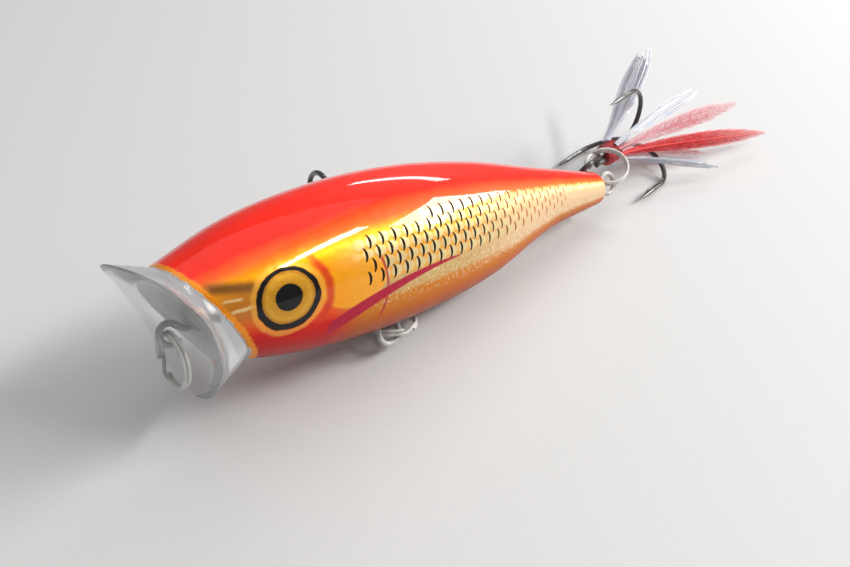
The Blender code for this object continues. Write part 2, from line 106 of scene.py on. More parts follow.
class Signal:
    """A node's output that takes plain arithmetic with numbers and other outputs."""

    def __init__(self, graph: "Graph", socket: NodeSocket) -> None:
        """Keeps the socket and the graph that it belongs to."""
        self.graph = graph
        self.socket = socket

    def __add__(self, other: object) -> "Signal":
        """Sum."""
        return self.graph.math("ADD", self, other)

    def __radd__(self, other: object) -> "Signal":
        """Sum with a number on the left."""
        return self.graph.math("ADD", other, self)

    def __sub__(self, other: object) -> "Signal":
        """Difference."""
        return self.graph.math("SUBTRACT", self, other)

    def __rsub__(self, other: object) -> "Signal":
        """Difference from a number on the left."""
        return self.graph.math("SUBTRACT", other, self)

    def __mul__(self, other: object) -> "Signal":
        """Product."""
        return self.graph.math("MULTIPLY", self, other)

    def __truediv__(self, other: object) -> "Signal":
        """Quotient."""
        return self.graph.math("DIVIDE", self, other)

    def __pow__(self, other: object) -> "Signal":
        """Power."""
        return self.graph.math("POWER", self, other)


class Graph:
    """Shorthand for adding and wiring the nodes of one tree."""

    def __init__(self, tree: NodeTree) -> None:
        """Keeps the tree that nodes are added to."""
        self.tree = tree

    def add(self, kind: str, **settings: object) -> Node:
        """Adds a node.

        Args:
            kind: The node's type name.
            **settings: Properties to set on it.

        Returns:
            The new node.
        """
        node = self.tree.nodes.new(kind)
        for key, value in settings.items():
            setattr(node, key, value)
        return node

    def feed(self, socket: NodeSocket, value: object) -> None:
        """Links a socket to another, or sets its value.

        Args:
            socket: The input socket.
            value: A signal, a number, a colour or a vector.
        """
        if isinstance(value, Signal):
            self.tree.links.new(value.socket, socket)
        elif isinstance(value, (tuple, Vector)) and socket.type == "RGBA":
            socket.default_value = (*value, 1.0)
        else:
            socket.default_value = value

    def call(self, kind: str, inputs: dict, output: object = 0, **settings: object) -> Signal:
        """Adds a node, feeds its inputs by name or index and gives one of its outputs.

        Args:
            kind: The node's type name.
            inputs: Input values by name or index.
            output: Name or index of the wanted output.
            **settings: Properties to set on the node.

        Returns:
            The output.
        """
        node = self.add(kind, **settings)
        for key, value in inputs.items():
            self.feed(node.inputs[key], value)
        return self.signal(node.outputs[output])

    def signal(self, socket: NodeSocket) -> Signal:
        """Wraps an output socket of this graph."""
        return Signal(self, socket)

    @staticmethod
    def free(sockets: Iterable, name: str = "Value") -> list:
        """The enabled sockets of this name, of a node that keeps one for each data type."""
        return [socket for socket in sockets if socket.name == name and socket.enabled]

    def math(
        self, operation: str, first: object, second: object = 0.0, clamp: bool = False
    ) -> Signal:
        """One arithmetic step on one or two numbers."""
        return self.call(
            "ShaderNodeMath", {0: first, 1: second}, operation=operation, use_clamp=clamp
        )

    def smooth(self, value: object, low: float, high: float) -> Signal:
        """A soft step that rises from 0 at low to 1 at high; low may be above high."""
        inputs = {"Value": value, "From Min": low, "From Max": high}
        return self.call("ShaderNodeMapRange", inputs, interpolation_type="SMOOTHSTEP")

    def band(self, value: object, low: float, high: float, soft: float) -> Signal:
        """A soft mask that is 1 between low and high.

        Args:
            value: What the mask is read from.
            low: Start of the band.
            high: End of the band.
            soft: Half-width of its soft edges.

        Returns:
            The mask.
        """
        rise = self.smooth(value, low - soft, low + soft)
        fall = self.smooth(value, high + soft, high - soft)
        return rise * fall

    def mix(self, factor: object, first: object, second: object) -> Signal:
        """Mixes two colours.

        Args:
            factor: Share of the second colour.
            first: First colour.
            second: Second colour.

        Returns:
            The mixed colour.
        """
        node = self.add("ShaderNodeMix", data_type="RGBA")
        low, high = (socket for socket in node.inputs if socket.type == "RGBA")
        for socket, value in ((node.inputs[0], factor), (low, first), (high, second)):
            self.feed(socket, value)
        return self.signal(next(socket for socket in node.outputs if socket.type == "RGBA"))

    def ramp(self, factor: object, stops: Sequence[tuple[float, Colour]]) -> Signal:
        """A colour ramp through (place, colour) stops.

        Args:
            factor: Place on the ramp.
            stops: Places and their colours.

        Returns:
            The colour.
        """
        node = self.add("ShaderNodeValToRGB")
        elements = node.color_ramp.elements
        while len(elements) < len(stops):
            elements.new(0.5)
        for element, (place, colour) in zip(elements, stops):
            element.position = place
            element.color = (*colour, 1.0)
        self.feed(node.inputs[0], factor)
        return self.signal(node.outputs["Color"])

    def noise(self, vector: object, scale: float, detail: float = 2.0) -> Signal:
        """Fractal noise from 0 to 1 at this many cells per unit."""
        inputs = {"Vector": vector, "Scale": scale, "Detail": detail}
        return self.call("ShaderNodeTexNoise", inputs)

    def vector(self, operation: str, first: object, second: object = (0.0, 0.0, 0.0)) -> Signal:
        """One vector arithmetic step."""
        return self.call("ShaderNodeVectorMath", {0: first, 1: second}, operation=operation)

    def combine(self, x: object = 0.0, y: object = 0.0, z: object = 0.0) -> Signal:
        """A vector from three numbers."""
        return self.call("ShaderNodeCombineXYZ", {0: x, 1: y, 2: z})

    def split(self, vector: object) -> tuple[Signal, ...]:
        """The three numbers of a vector.

        Args:
            vector: The vector.

        Returns:
            X, Y and Z.
        """
        node = self.add("ShaderNodeSeparateXYZ")
        self.feed(node.inputs[0], vector)
        return tuple(self.signal(socket) for socket in node.outputs)

    def place(self, tree: NodeTree, **inputs: object) -> dict[str, Signal]:
        """Places a shared shader group and gives its outputs by name.

        Args:
            tree: The shared group.
            **inputs: Values of the group's inputs.

        Returns:
            Its outputs by name.
        """
        node = self.add("ShaderNodeGroup", node_tree=tree)
        for key, value in inputs.items():
            self.feed(node.inputs[key], value)
        return {socket.name: self.signal(socket) for socket in node.outputs}

    def millimetres(self, place: Matrix) -> Signal:
        """Coordinates in millimetres in the frame of one piece, given in the world."""
        inputs = {
            "Vector": self.call("ShaderNodeTexCoord", {}, output="Object"),
            "Location": place.to_translation(),
            "Rotation": tuple(place.to_euler()),
            "Scale": Vector((MM, MM, MM)),
        }
        return self.call("ShaderNodeMapping", inputs, vector_type="TEXTURE")

    def scaled(self, vector: object, factor: object) -> Signal:
        """A vector times a number."""
        return self.call("ShaderNodeVectorMath", {0: vector, "Scale": factor}, operation="SCALE")

    def remap(self, value: object, span: tuple[float, float], ends: tuple[float, float]) -> Signal:
        """Carries a span of values to another in a straight line, held at both ends."""
        inputs = dict(
            zip(("Value", "From Min", "From Max", "To Min", "To Max"), (value, *span, *ends))
        )
        return self.call("ShaderNodeMapRange", inputs)

    def attribute(self, name: str, data_type: str = "FLOAT") -> Signal:
        """A named attribute of the geometry."""
        return self.call("GeometryNodeInputNamedAttribute", {"Name": name}, data_type=data_type)


class NodeGroup(Graph):
    """A node group with named inputs and outputs."""

    def __init__(
        self, name: str, kind: str, inputs: dict[str, tuple], outputs: dict[str, str]
    ) -> None:
        """Builds the group's interface.

        Args:
            name: Name of the group.
            kind: Tree type.
            inputs: Socket type and default value by name; the default may be None.
            outputs: Socket type by name.
        """
        super().__init__(bpy.data.node_groups.new(name, kind))
        for key, (socket_type, default) in inputs.items():
            socket = self.tree.interface.new_socket(
                name=key, in_out="INPUT", socket_type=socket_type
            )
            if default is not None:
                socket.default_value = default
        for key, socket_type in outputs.items():
            self.tree.interface.new_socket(name=key, in_out="OUTPUT", socket_type=socket_type)
        given = self.add("NodeGroupInput").outputs
        self.given = {socket.name: self.signal(socket) for socket in given}
        self.result = self.add("NodeGroupOutput").inputs


FLOAT = "NodeSocketFloat"
INTEGER = "NodeSocketInt"
VECTOR = "NodeSocketVector"
COLOUR = "NodeSocketColor"
GEOMETRY = "NodeSocketGeometry"
MATERIAL = "NodeSocketMaterial"


# ------------------------------------------------------------- shader effects


class Effects:
    """Shader node groups that several finishes share."""

    def __init__(self) -> None:
        """Builds the groups once."""
        self.handling = self.make_handling()
        self.flakes = self.make_flakes()
        self.streaks = self.make_streaks()

    @staticmethod
    def make_handling() -> NodeTree:
        """Smudges and hairline scratches of a handled hard surface.

        Returns:
            The group.
        """
        inputs = {"Vector": (VECTOR, None), "Roughness": (FLOAT, 0.2), "Amount": (FLOAT, 0.1)}
        group = NodeGroup(
            "handling_marks", "ShaderNodeTree", inputs, {"Roughness": FLOAT, "Height": FLOAT}
        )
        vector = group.given["Vector"]
        smudge = group.noise(vector, 0.35, 3.0)
        stretched = group.vector("MULTIPLY", vector, (0.6, 6.0, 6.0))
        scratch = group.smooth(group.noise(stretched, 1.2, 4.0), 0.62, 0.70)
        both = smudge + scratch * 0.6
        worn = both * group.given["Amount"]
        group.feed(
            group.result["Roughness"], group.math("ADD", worn, group.given["Roughness"], clamp=True)
        )
        group.feed(group.result["Height"], scratch * -1.0)
        return group.tree

    @staticmethod
    def make_flakes() -> NodeTree:
        """Metallic flakes scattered in a lacquer, as a mask and a shade for each flake.

        Returns:
            The group.
        """
        inputs = {"Vector": (VECTOR, None), "Scale": (FLOAT, 5.0), "Density": (FLOAT, 0.5)}
        outputs = {"Mask": FLOAT, "Shade": FLOAT}
        group = NodeGroup("metal_flakes", "ShaderNodeTree", inputs, outputs)
        cell = group.add("ShaderNodeTexVoronoi", feature="F1")
        for key in ("Vector", "Scale"):
            group.feed(cell.inputs[key], group.given[key])
        red, green, _ = group.split(group.signal(cell.outputs["Color"]))
        chosen = group.math("LESS_THAN", red, group.given["Density"])
        near = group.smooth(group.signal(cell.outputs["Distance"]), 0.62, 0.38)
        group.feed(group.result["Mask"], chosen * near)
        group.feed(group.result["Shade"], green)
        return group.tree

    @staticmethod
    def make_streaks() -> NodeTree:
        """Lengthwise tone changes of fibres, dyed quills and foil strands.

        Returns:
            The group.
        """
        inputs = {
            "Vector": (VECTOR, None),
            "Scale": (FLOAT, 1.0),
            "Dark": (COLOUR, None),
            "Light": (COLOUR, None),
        }
        group = NodeGroup(
            "fibre_tone", "ShaderNodeTree", inputs, {"Color": COLOUR, "Height": FLOAT}
        )
        scaled = group.scaled(group.given["Vector"], group.given["Scale"])
        broad = group.noise(scaled, 0.5, 2.0)
        fine = group.noise(scaled, 4.0, 3.0)
        tone = group.smooth(broad + fine, 0.75, 1.25)
        group.feed(
            group.result["Color"], group.mix(tone, group.given["Dark"], group.given["Light"])
        )
        group.feed(group.result["Height"], fine)
        return group.tree


# -------------------------------------------------------------------- finishes


@dataclass(frozen=True)
class Finish:
    """A named surface finish; its fields are the constant numbers of its shader."""

    name: str
    roughness: float = 0.4
    metallic: float = 0.0
    coat: float = 0.0
    coat_roughness: float = 0.05
    coat_ior: float = 1.5
    specular: float = 0.5
    bump: float = 0.0

    def start(self) -> tuple[Material, Graph, Node]:
        """Makes the material and sets its constant numbers.

        Returns:
            The material, a graph on its tree and its Principled node.
        """
        material = bpy.data.materials.new(self.name)
        material.use_nodes = True
        graph = Graph(material.node_tree)
        shader = material.node_tree.nodes["Principled BSDF"]
        constants = {
            "Roughness": self.roughness,
            "Metallic": self.metallic,
            "Coat Weight": self.coat,
            "Coat Roughness": self.coat_roughness,
            "Coat IOR": self.coat_ior,
            "Specular IOR Level": self.specular,
        }
        for key, value in constants.items():
            shader.inputs[key].default_value = value
        return material, graph, shader

    def raise_surface(self, graph: Graph, shader: Node, height: object) -> None:
        """Feeds a height in millimetres to the shader's normal through a Bump node."""
        inputs = {"Strength": self.bump, "Distance": MM, "Height": height}
        graph.feed(shader.inputs["Normal"], graph.call("ShaderNodeBump", inputs))


@dataclass(frozen=True)
class MetalFinish(Finish):
    """Bare or plated wire with smudges and drawing marks."""

    colour: Colour = (0.6, 0.6, 0.6)
    tarnish: Colour = (0.4, 0.4, 0.4)
    marks: float = 0.12

    def build(self, effects: Effects, place: Matrix) -> Material:
        """Builds the metal on the frame of its piece.

        Args:
            effects: Shared shader groups.
            place: The piece's frame in the world.

        Returns:
            The material.
        """
        material, graph, shader = self.start()
        spot = graph.millimetres(place)
        patch = graph.smooth(graph.noise(spot, 0.5, 3.0), 0.45, 0.75)
        graph.feed(shader.inputs["Base Color"], graph.mix(patch, self.colour, self.tarnish))
        marks = graph.place(
            effects.handling, Vector=spot, Roughness=self.roughness, Amount=self.marks
        )
        graph.feed(shader.inputs["Roughness"], marks["Roughness"])
        self.raise_surface(graph, shader, marks["Height"])
        return material


@dataclass(frozen=True)
class ClearFinish(Finish):
    """Clear moulded plastic with faint haze and scuffs."""

    tint: Colour = (0.93, 0.95, 0.95)
    ior: float = 1.5
    clearness: float = 0.88

    def build(self, effects: Effects, place: Matrix) -> Material:
        """Builds the plastic on the plug's frame.

        Args:
            effects: Shared shader groups.
            place: The piece's frame in the world.

        Returns:
            The material.
        """
        material, graph, shader = self.start()
        shader.inputs["Base Color"].default_value = (*self.tint, 1.0)
        shader.inputs["IOR"].default_value = self.ior
        shader.inputs["Transmission Weight"].default_value = self.clearness
        spot = graph.millimetres(place)
        marks = graph.place(effects.handling, Vector=spot, Roughness=self.roughness, Amount=0.05
        )
        graph.feed(shader.inputs["Roughness"], marks["Roughness"])
        ripple = graph.noise(spot, 0.4, 1.0) * 0.6
        self.raise_surface(graph, shader, marks["Height"] + ripple)
        return material


@dataclass(frozen=True)
class FibreFinish(Finish):
    """Dyed feather, thread or foil strands."""

    dark: Colour = (0.5, 0.02, 0.03)
    light: Colour = (0.9, 0.2, 0.2)
    scale: float = 1.0
    alpha: float = 1.0
    sheen: float = 0.0
    flake_scale: float = 0.0
    tips: Colour = (0.0, 0.0, 0.0)
    tip_start: float = 0.0
    tip_end: float = 0.0

    def build(self, effects: Effects, place: Matrix) -> Material:
        """Builds the fibres on the hook's frame, whose Z runs along the shank.

        Args:
            effects: Shared shader groups.
            place: The piece's frame in the world.

        Returns:
            The material.
        """
        material, graph, shader = self.start()
        shader.inputs["Alpha"].default_value = self.alpha
        shader.inputs["Sheen Weight"].default_value = self.sheen
        spot = graph.millimetres(place)
        along = graph.vector("MULTIPLY", spot, (3.0, 3.0, 0.5))
        tone = graph.place(
            effects.streaks, Vector=along, Scale=self.scale, Dark=self.dark, Light=self.light
        )
        colour = tone["Color"]
        if self.tip_end:
            reach = graph.smooth(graph.split(spot)[2], self.tip_start, self.tip_end)
            colour = graph.mix(reach, colour, self.tips)
        if self.flake_scale:
            flakes = graph.place(effects.flakes, Vector=spot, Scale=self.flake_scale, Density=0.5
            )
            hue = graph.ramp(
                flakes["Shade"],
                (
                    (0.0, (0.55, 0.75, 1.0)),
                    (0.35, (1.0, 1.0, 1.0)),
                    (0.7, (1.0, 0.72, 0.95)),
                    (1.0, (0.7, 1.0, 0.85)),
                ),
            )
            colour = graph.mix(flakes["Mask"] * 0.45, colour, hue)
        graph.feed(shader.inputs["Base Color"], colour)
        self.raise_surface(graph, shader, tone["Height"])
        return material


@dataclass(frozen=True)
class InkFinish(Finish):
    """Stencilled scale ink, black at the shoulder and rusty towards the tail."""

    ink: Colour = (0.012, 0.008, 0.006)
    rust: Colour = (0.45, 0.10, 0.02)
    rust_start: float = 36.0
    rust_end: float = 50.0

    def build(self, effects: Effects, place: Matrix) -> Material:
        """Builds the ink on the plug's frame.

        Args:
            effects: Shared shader groups.
            place: The piece's frame in the world.

        Returns:
            The material.
        """
        material, graph, shader = self.start()
        spot = graph.millimetres(place)
        fade = graph.smooth(graph.split(spot)[0], self.rust_start, self.rust_end)
        graph.feed(shader.inputs["Base Color"], graph.mix(fade, self.ink, self.rust))
        flakes = graph.place(effects.flakes, Vector=spot, Scale=9.0, Density=0.5)
        self.raise_surface(graph, shader, flakes["Mask"])
        return material


@dataclass(frozen=True)
class FloorFinish(Finish):
    """Plain pale paper with a faint tooth."""

    colour: Colour = (0.66, 0.66, 0.66)

    def build(self) -> Material:
        """Builds the paper.

        Returns:
            The material.
        """
        material, graph, shader = self.start()
        spot = graph.millimetres(Matrix.Identity(4))
        tooth = graph.noise(spot, 1.5, 3.0)
        pale = tuple(0.97 * part for part in self.colour)
        graph.feed(shader.inputs["Base Color"], graph.mix(tooth, self.colour, pale))
        self.raise_surface(graph, shader, tooth)
        return material


@dataclass
class Canvas:
    """What the steps of a paint job share: where they are, the colour and the height."""

    graph: Graph
    effects: Effects
    spot: Signal
    turn: Signal
    cloud: Signal
    x: Signal
    z: Signal
    colour: object = (0.0, 0.0, 0.0)
    height: object = 0.0

    def paint(self, mask: Signal, colour: object, opacity: float = 1.0) -> None:
        """Lays a colour over what is there."""
        cover = mask if opacity == 1.0 else mask * opacity
        self.colour = self.graph.mix(cover, self.colour, colour)

    def emboss(self, mask: Signal, amount: float) -> None:
        """Adds to the height that the finish's bump reads."""
        self.height = mask * amount + self.height

    def flakes(self, scale: float, density: float) -> dict[str, Signal]:
        """Metallic flakes at this many cells per millimetre."""
        return self.graph.place(self.effects.flakes, Vector=self.spot, Scale=scale, Density=density)


@dataclass(frozen=True)
class PaintScheme(Finish):
    """The plug's airbrushed and foiled paint under a thick clear coat.

    Places along the body are in millimetres from the nose, heights in millimetres from
    its axis, and turns in degrees round the body from the back. A pair is a start and an
    end, and a point is a place and a height.
    """

    trunk_stops: Stops = (
        (0.27, BACK_RED),
        (0.345, ORANGE),
        (0.395, (0.92, 0.33, 0.003)),
        (0.46, (0.74, 0.38, 0.07)),
        (0.61, SILVER),
        (0.645, SILVER),
        (0.67, (0.60, 0.19, 0.0)),
        (0.79, (0.50, 0.09, 0.0)),
        (0.90, (0.30, 0.03, 0.0)),
        (1.0, (0.16, 0.04, 0.015)),
    )
    head_stops: Stops = (
        (0.29, BACK_RED),
        (0.35, ORANGE),
        (0.41, (0.96, 0.36, 0.0)),
        (0.55, (0.82, 0.24, 0.0)),
        (0.64, (0.80, 0.09, 0.0)),
        (0.70, (0.66, 0.004, 0.0)),
        (1.0, (0.28, 0.002, 0.0)),
    )
    # Glitter flake colours from dark to near white: real glitter with painted sparkle.
    glitter_sparkle_stops: Stops = (
        (0.0, (0.20, 0.10, 0.03)),
        (0.35, (0.62, 0.42, 0.16)),
        (0.7, (0.95, 0.82, 0.55)),
        (1.0, (1.0, 0.95, 0.80)),
    )
    iris_stops: Stops = (
        (0.45, (0.40, 0.16, 0.01)),
        (0.58, (0.58, 0.26, 0.01)),
        (0.85, (0.68, 0.34, 0.02)),
        (0.97, (0.46, 0.18, 0.01)),
    )
    tail_cream: Colour = (0.84, 0.58, 0.36)
    scale_gold: Colour = (0.84, 0.36, 0.03)
    scale_cream: Colour = (0.70, 0.56, 0.27)
    gill_gold: tuple[Colour, Colour] = ((0.95, 0.36, 0.0), (0.95, 0.55, 0.08))
    crimson: tuple[Colour, Colour] = ((0.42, 0.0, 0.03), (0.85, 0.10, 0.12))
    brown: Colour = (0.10, 0.032, 0.012)
    light_brown: Colour = (0.30, 0.13, 0.04)
    stroke_gold: Colour = (0.92, 0.66, 0.30)
    eye_red: Colour = (0.66, 0.035, 0.01)
    eye_glow: Colour = (0.92, 0.45, 0.06)
    iris_glint: Colour = (0.95, 0.70, 0.25)
    rim_orange: Colour = (0.95, 0.30, 0.01)
    pale_face: Colour = (0.62, 0.62, 0.60)
    black: Colour = (0.006, 0.005, 0.005)
    head_end: Pair = (15.0, 20.0)
    cream_run: Pair = (33.0, 48.0)
    flank_turns: Pair = (70.0, 122.0)
    glitter_turns: Pair = (106.0, 126.0)
    glitter_run: Pair = (17.0, 22.0)
    thin_coat_turns: Pair = (135.0, 105.0)
    bar_heights: Pair = (2.5, 3.6)
    bar_run: Pair = (2.4, 7.4)
    shade_heights: Pair = (-1.6, 1.7)
    shade_run: Pair = (3.2, 7.0)
    strokes: tuple[tuple[Pair, Pair], ...] = (
        ((0.85, 1.10), (3.7, 5.6)), ((-0.35, 0.0), (4.3, 6.7)),
    )
    row_start: float = 68.5
    row_turn: float = 8.1
    rows: Pair = (-0.5, 4.5)
    scale_pitch: float = 1.72
    scale_start: float = 18.0
    scale_run: Pair = (18.0, 21.0)
    first_row_run: Pair = (28.5, 30.0)
    scale_gold_fade: Pair = (44.0, 30.0)
    scale_fade: Pair = (60.0, 38.0)
    gill_centre: Pair = (18.4, -0.7)
    gill_size: Pair = (4.3, 2.8)
    gill_top: Pair = (2.0, 0.5)
    stripe_peak: Pair = (33.5, -1.7)
    stripe_bow: float = 0.0104
    stripe_run: Pair = (15.2, 33.8)
    stripe_taper: tuple[Pair, Pair] = ((18.0, 34.0), (0.74, 0.05))
    arc_peak: Pair = (22.7, -2.0)
    arc_bow: float = 0.055
    arc_heights: Pair = (-5.6, 1.2)
    eye_centre: Pair = (10.45, -0.25)
    eye_stretch: float = 1.1
    eye_radius: float = 3.62
    iris_radius: float = 2.98
    pupil_radius: float = 1.52
    eye_band: Pair = (4.35, 5.35)
    eye_band_run: Pair = (2.2, 4.2)
    eye_glow_band: Pair = (3.6, 4.2)

    def build(self, effects: Effects, plug: "PlugShape") -> Material:
        """Builds the whole paint job.

        Args:
            effects: Shared shader groups.
            plug: The plug's shape and place.

        Returns:
            The body's material.
        """
        material, graph, shader = self.start()
        spot = graph.millimetres(plug.place)
        x, _, z = graph.split(spot)
        girth = graph.call("ShaderNodeUVMap", {}, uv_map=GIRTH_MAP)
        cloud = graph.noise(spot, 0.45, 3.0) - 0.5
        turn = graph.split(girth)[1] * HALF_TURN + cloud * 5.0
        canvas = Canvas(graph, effects, spot, turn, cloud, x, z)
        self.ground(canvas)
        self.cheek(canvas)
        self.scales(canvas)
        self.gill(canvas)
        self.eye(canvas)
        coat = self.front(canvas, plug) * (graph.smooth(turn, *self.thin_coat_turns) * 0.7 + 0.3)
        foil = graph.band(turn, *self.flank_turns, 8.0) * 0.5
        graph.feed(shader.inputs["Base Color"], canvas.colour)
        graph.feed(shader.inputs["Coat Weight"], coat)
        graph.feed(shader.inputs["Metallic"], foil * coat)
        peel = graph.noise(spot, 0.55, 1.0) * 0.9
        self.raise_surface(graph, shader, canvas.height + peel)
        return material

    def ground(self, canvas: Canvas) -> None:
        """Back, flank and belly colours, with glitter flakes in the pale band, each painted at a
        random brightness from dark to near white as painted sparkle.

        Args:
            canvas: The paint job so far.
        """
        graph, x, turn = canvas.graph, canvas.x, canvas.turn
        share = turn / HALF_TURN
        trunk = graph.ramp(share, self.trunk_stops)
        head = graph.ramp(share, self.head_stops)
        pale = graph.smooth(x, *self.cream_run) * graph.band(turn, *self.flank_turns, 6.0)
        trunk = graph.mix(pale * 0.75, trunk, self.tail_cream)
        canvas.colour = graph.mix(graph.smooth(x, *self.head_end), head, trunk)
        # Glitter flakes, each given a random brightness on the ramp: painted sparkle on real
        # glitter.
        glitter = canvas.flakes(4.2, 0.55)
        shine = graph.ramp(glitter["Shade"], self.glitter_sparkle_stops)
        band = graph.band(turn, *self.glitter_turns, 6.0) * graph.smooth(x, *self.glitter_run)
        amount = glitter["Mask"] * band * 0.45
        canvas.paint(amount, shine)
        canvas.emboss(amount, 0.25)

    def cheek(self, canvas: Canvas) -> None:
        """Brown airbrushed bar ahead of the eye and the light foil strokes under it.

        Args:
            canvas: The paint job so far.
        """
        graph, x, z = canvas.graph, canvas.x, canvas.z
        lift = z + x * 0.18
        bar = graph.band(lift, *self.bar_heights, 0.45) * graph.band(x, *self.bar_run, 0.8)
        canvas.paint(bar, self.brown, 0.85)
        shade = graph.band(z, *self.shade_heights, 0.9) * graph.band(x, *self.shade_run, 0.9)
        canvas.paint(shade, self.light_brown, 0.45)
        wavy = z + canvas.cloud * 0.8
        for heights, run in self.strokes:
            stroke = graph.band(wavy, *heights, 0.1) * graph.band(x, *run, 0.25)
            canvas.paint(stroke, self.stroke_gold, 0.8)

    def scales(self, canvas: Canvas) -> None:
        """Cream scale cells in staggered rows, domed a little.

        Args:
            canvas: The paint job so far.
        """
        graph, x = canvas.graph, canvas.x
        row = (canvas.turn - self.row_start) / self.row_turn
        number = graph.math("ROUND", row)
        up = row - number
        stagger = graph.math("PINGPONG", number, 1.0) * 0.5
        run = (x - self.scale_start) / self.scale_pitch - stagger
        along = graph.math("FRACT", run) - 0.5
        cell = graph.smooth(graph.math("SQRT", up * up + along * along), 0.56, 0.34)
        area = graph.band(number, *self.rows, 0.1) * graph.smooth(x, *self.scale_run)
        area = area * graph.smooth(x + number * 12.0, *self.first_row_run)
        canvas.paint(area * graph.smooth(x, *self.scale_gold_fade), self.scale_gold, 0.8)
        mask = cell * area * graph.smooth(x, *self.scale_fade)
        canvas.paint(mask, self.scale_cream, 0.95)
        canvas.emboss(mask, 0.12)

    def gill(self, canvas: Canvas) -> None:
        """Gold gill plate, crimson stripe that sweeps back from it, and a thin arc.

        Args:
            canvas: The paint job so far.
        """
        graph, x, z = canvas.graph, canvas.x, canvas.z
        dx = (x - self.gill_centre[0]) / self.gill_size[0]
        dz = (z - self.gill_centre[1]) / self.gill_size[1]
        edge = graph.math("SQRT", dx * dx + dz * dz)
        plate = graph.smooth(edge, 1.02, 0.95) * graph.smooth(z, *self.gill_top)
        # Glitter flakes in the plate and stripe are painted lighter: painted sparkle on real
        # glitter.
        glitter = canvas.flakes(5.0, 0.6)["Mask"]
        canvas.paint(plate, graph.mix(glitter * 0.15, *self.gill_gold), 0.85)
        back = self.stripe_peak[0] - x
        away = graph.math("ABSOLUTE", z - (self.stripe_peak[1] - back * back * self.stripe_bow))
        stripe = graph.smooth(away - graph.remap(x, *self.stripe_taper), 0.10, -0.05)
        stripe = stripe * graph.band(x, *self.stripe_run, 0.35)
        bow = z - self.arc_peak[1]
        away = graph.math("ABSOLUTE", x - (self.arc_peak[0] - bow * bow * self.arc_bow))
        arc = graph.smooth(away, 0.26, 0.10) * graph.band(z, *self.arc_heights, 0.5)
        red = graph.math("MAXIMUM", stripe, arc * 0.8)
        canvas.paint(red, graph.mix(glitter * 0.10, *self.crimson))
        canvas.emboss(plate, 0.25)
        canvas.emboss(red, 0.1)

    def eye(self, canvas: Canvas) -> None:
        """Black-ringed gold eye and the red band behind it.

        Args:
            canvas: The paint job so far.
        """
        graph = canvas.graph
        dx = canvas.x - self.eye_centre[0]
        dz = (canvas.z - self.eye_centre[1]) * self.eye_stretch
        radius = graph.math("SQRT", dx * dx + dz * dz)
        wobble = graph.noise(canvas.spot, 0.8, 1.0) - 0.5
        outer = radius + wobble * 0.35 + dz * 0.04
        inner = radius + wobble * 0.2
        behind = graph.band(outer, *self.eye_band, 0.3) * graph.smooth(dx, *self.eye_band_run)
        canvas.paint(behind, self.eye_red, 0.9)
        canvas.paint(graph.band(outer, *self.eye_glow_band, 0.2), self.eye_glow, 0.6)
        iris = graph.ramp(radius / self.iris_radius, self.iris_stops)
        iris = graph.mix(canvas.flakes(6.0, 0.5)["Mask"] * 0.12, iris, self.iris_glint)
        for distance, size, soft, colour in (
            (outer, self.eye_radius, 0.06, self.black),
            (inner, self.iris_radius, 0.05, iris),
            (inner, self.pupil_radius, 0.05, self.black),
        ):
            canvas.paint(graph.smooth(distance, size + soft, size - soft), colour)
        canvas.emboss(graph.smooth(radius, self.eye_radius, self.eye_radius - 0.5), 0.3)

    def front(self, canvas: Canvas, plug: "PlugShape") -> Signal:
        """Ragged paint edge with an orange rim at the pale front face.

        Args:
            canvas: The paint job so far.
            plug: The plug's shape and place.

        Returns:
            The clear coat's weight, which stops at the paint's edge.
        """
        graph = canvas.graph
        edge = (plug.face_top_z / MM - canvas.z) * (plug.face_run / plug.face_drop)
        rag = (graph.noise(canvas.spot, 1.6, 3.0) - 0.45) * 0.75
        past = canvas.x - edge + rag
        canvas.paint(graph.smooth(past, 0.95, 0.55), self.rim_orange)
        canvas.paint(graph.smooth(past, 0.20, 0.08), self.pale_face)
        return graph.remap(past, (0.05, 0.3), (0.0, self.coat))


# ------------------------------------------------------------ shared mesh work


@lru_cache(maxsize=None)
def knot_slopes(knots: Knots) -> tuple[list[float], list[float], list[float]]:
    """Places, heights and slopes of a curve's knots, in rising order of place.

    Args:
        knots: Places and heights, in either order of place.

    Returns:
        The places, the heights and the slopes.
    """
    places = np.array([k[0] for k in knots], float)
    heights = np.array([k[1] for k in knots], float)
    if places[0] > places[-1]:
        places, heights = places[::-1], heights[::-1]
    return places.tolist(), heights.tolist(), np.gradient(heights, places).tolist()


def smooth_value(knots: Knots, value: float) -> float:
    """Value of a curve through (place, height) knots, with slopes from the neighbours.

    Args:
        knots: Places and heights, in either order of place.
        value: Place to read the curve at.

    Returns:
        The height there.
    """
    places, heights, slopes = knot_slopes(knots)
    value = min(max(float(value), places[0]), places[-1])
    i = min(max(bisect_left(places, value) - 1, 0), len(places) - 2)
    step = places[i + 1] - places[i]
    t = (value - places[i]) / step
    return (
        heights[i] * (1 + 2 * t) * (1 - t) ** 2
        + slopes[i] * step * t * (1 - t) ** 2
        + heights[i + 1] * t * t * (3 - 2 * t)
        + slopes[i + 1] * step * t * t * (t - 1)
    )


def add_object(name: str, mesh: Mesh) -> Object:
    """Links a new object for a mesh into the scene.

    Args:
        name: Name of the new object.
        mesh: Its mesh.

    Returns:
        The object.
    """
    item = bpy.data.objects.new(name, mesh)
    bpy.context.scene.collection.objects.link(item)
    return item


def settle_mesh(mesh: Mesh, sharp_deg: float = 50.0) -> None:
    """Merges doubles, turns faces outwards and shades smooth up to a sharp angle.

    Args:
        mesh: The mesh to work on.
        sharp_deg: Edges sharper than this stay sharp.
    """
    shell = bmesh.new()
    shell.from_mesh(mesh)
    bmesh.ops.remove_doubles(shell, verts=shell.verts, dist=0.002 * MM)
    bmesh.ops.recalc_face_normals(shell, faces=shell.faces)
    shell.to_mesh(mesh)
    shell.free()
    mesh.shade_smooth()
    mesh.set_sharp_from_angle(angle=math.radians(sharp_deg))


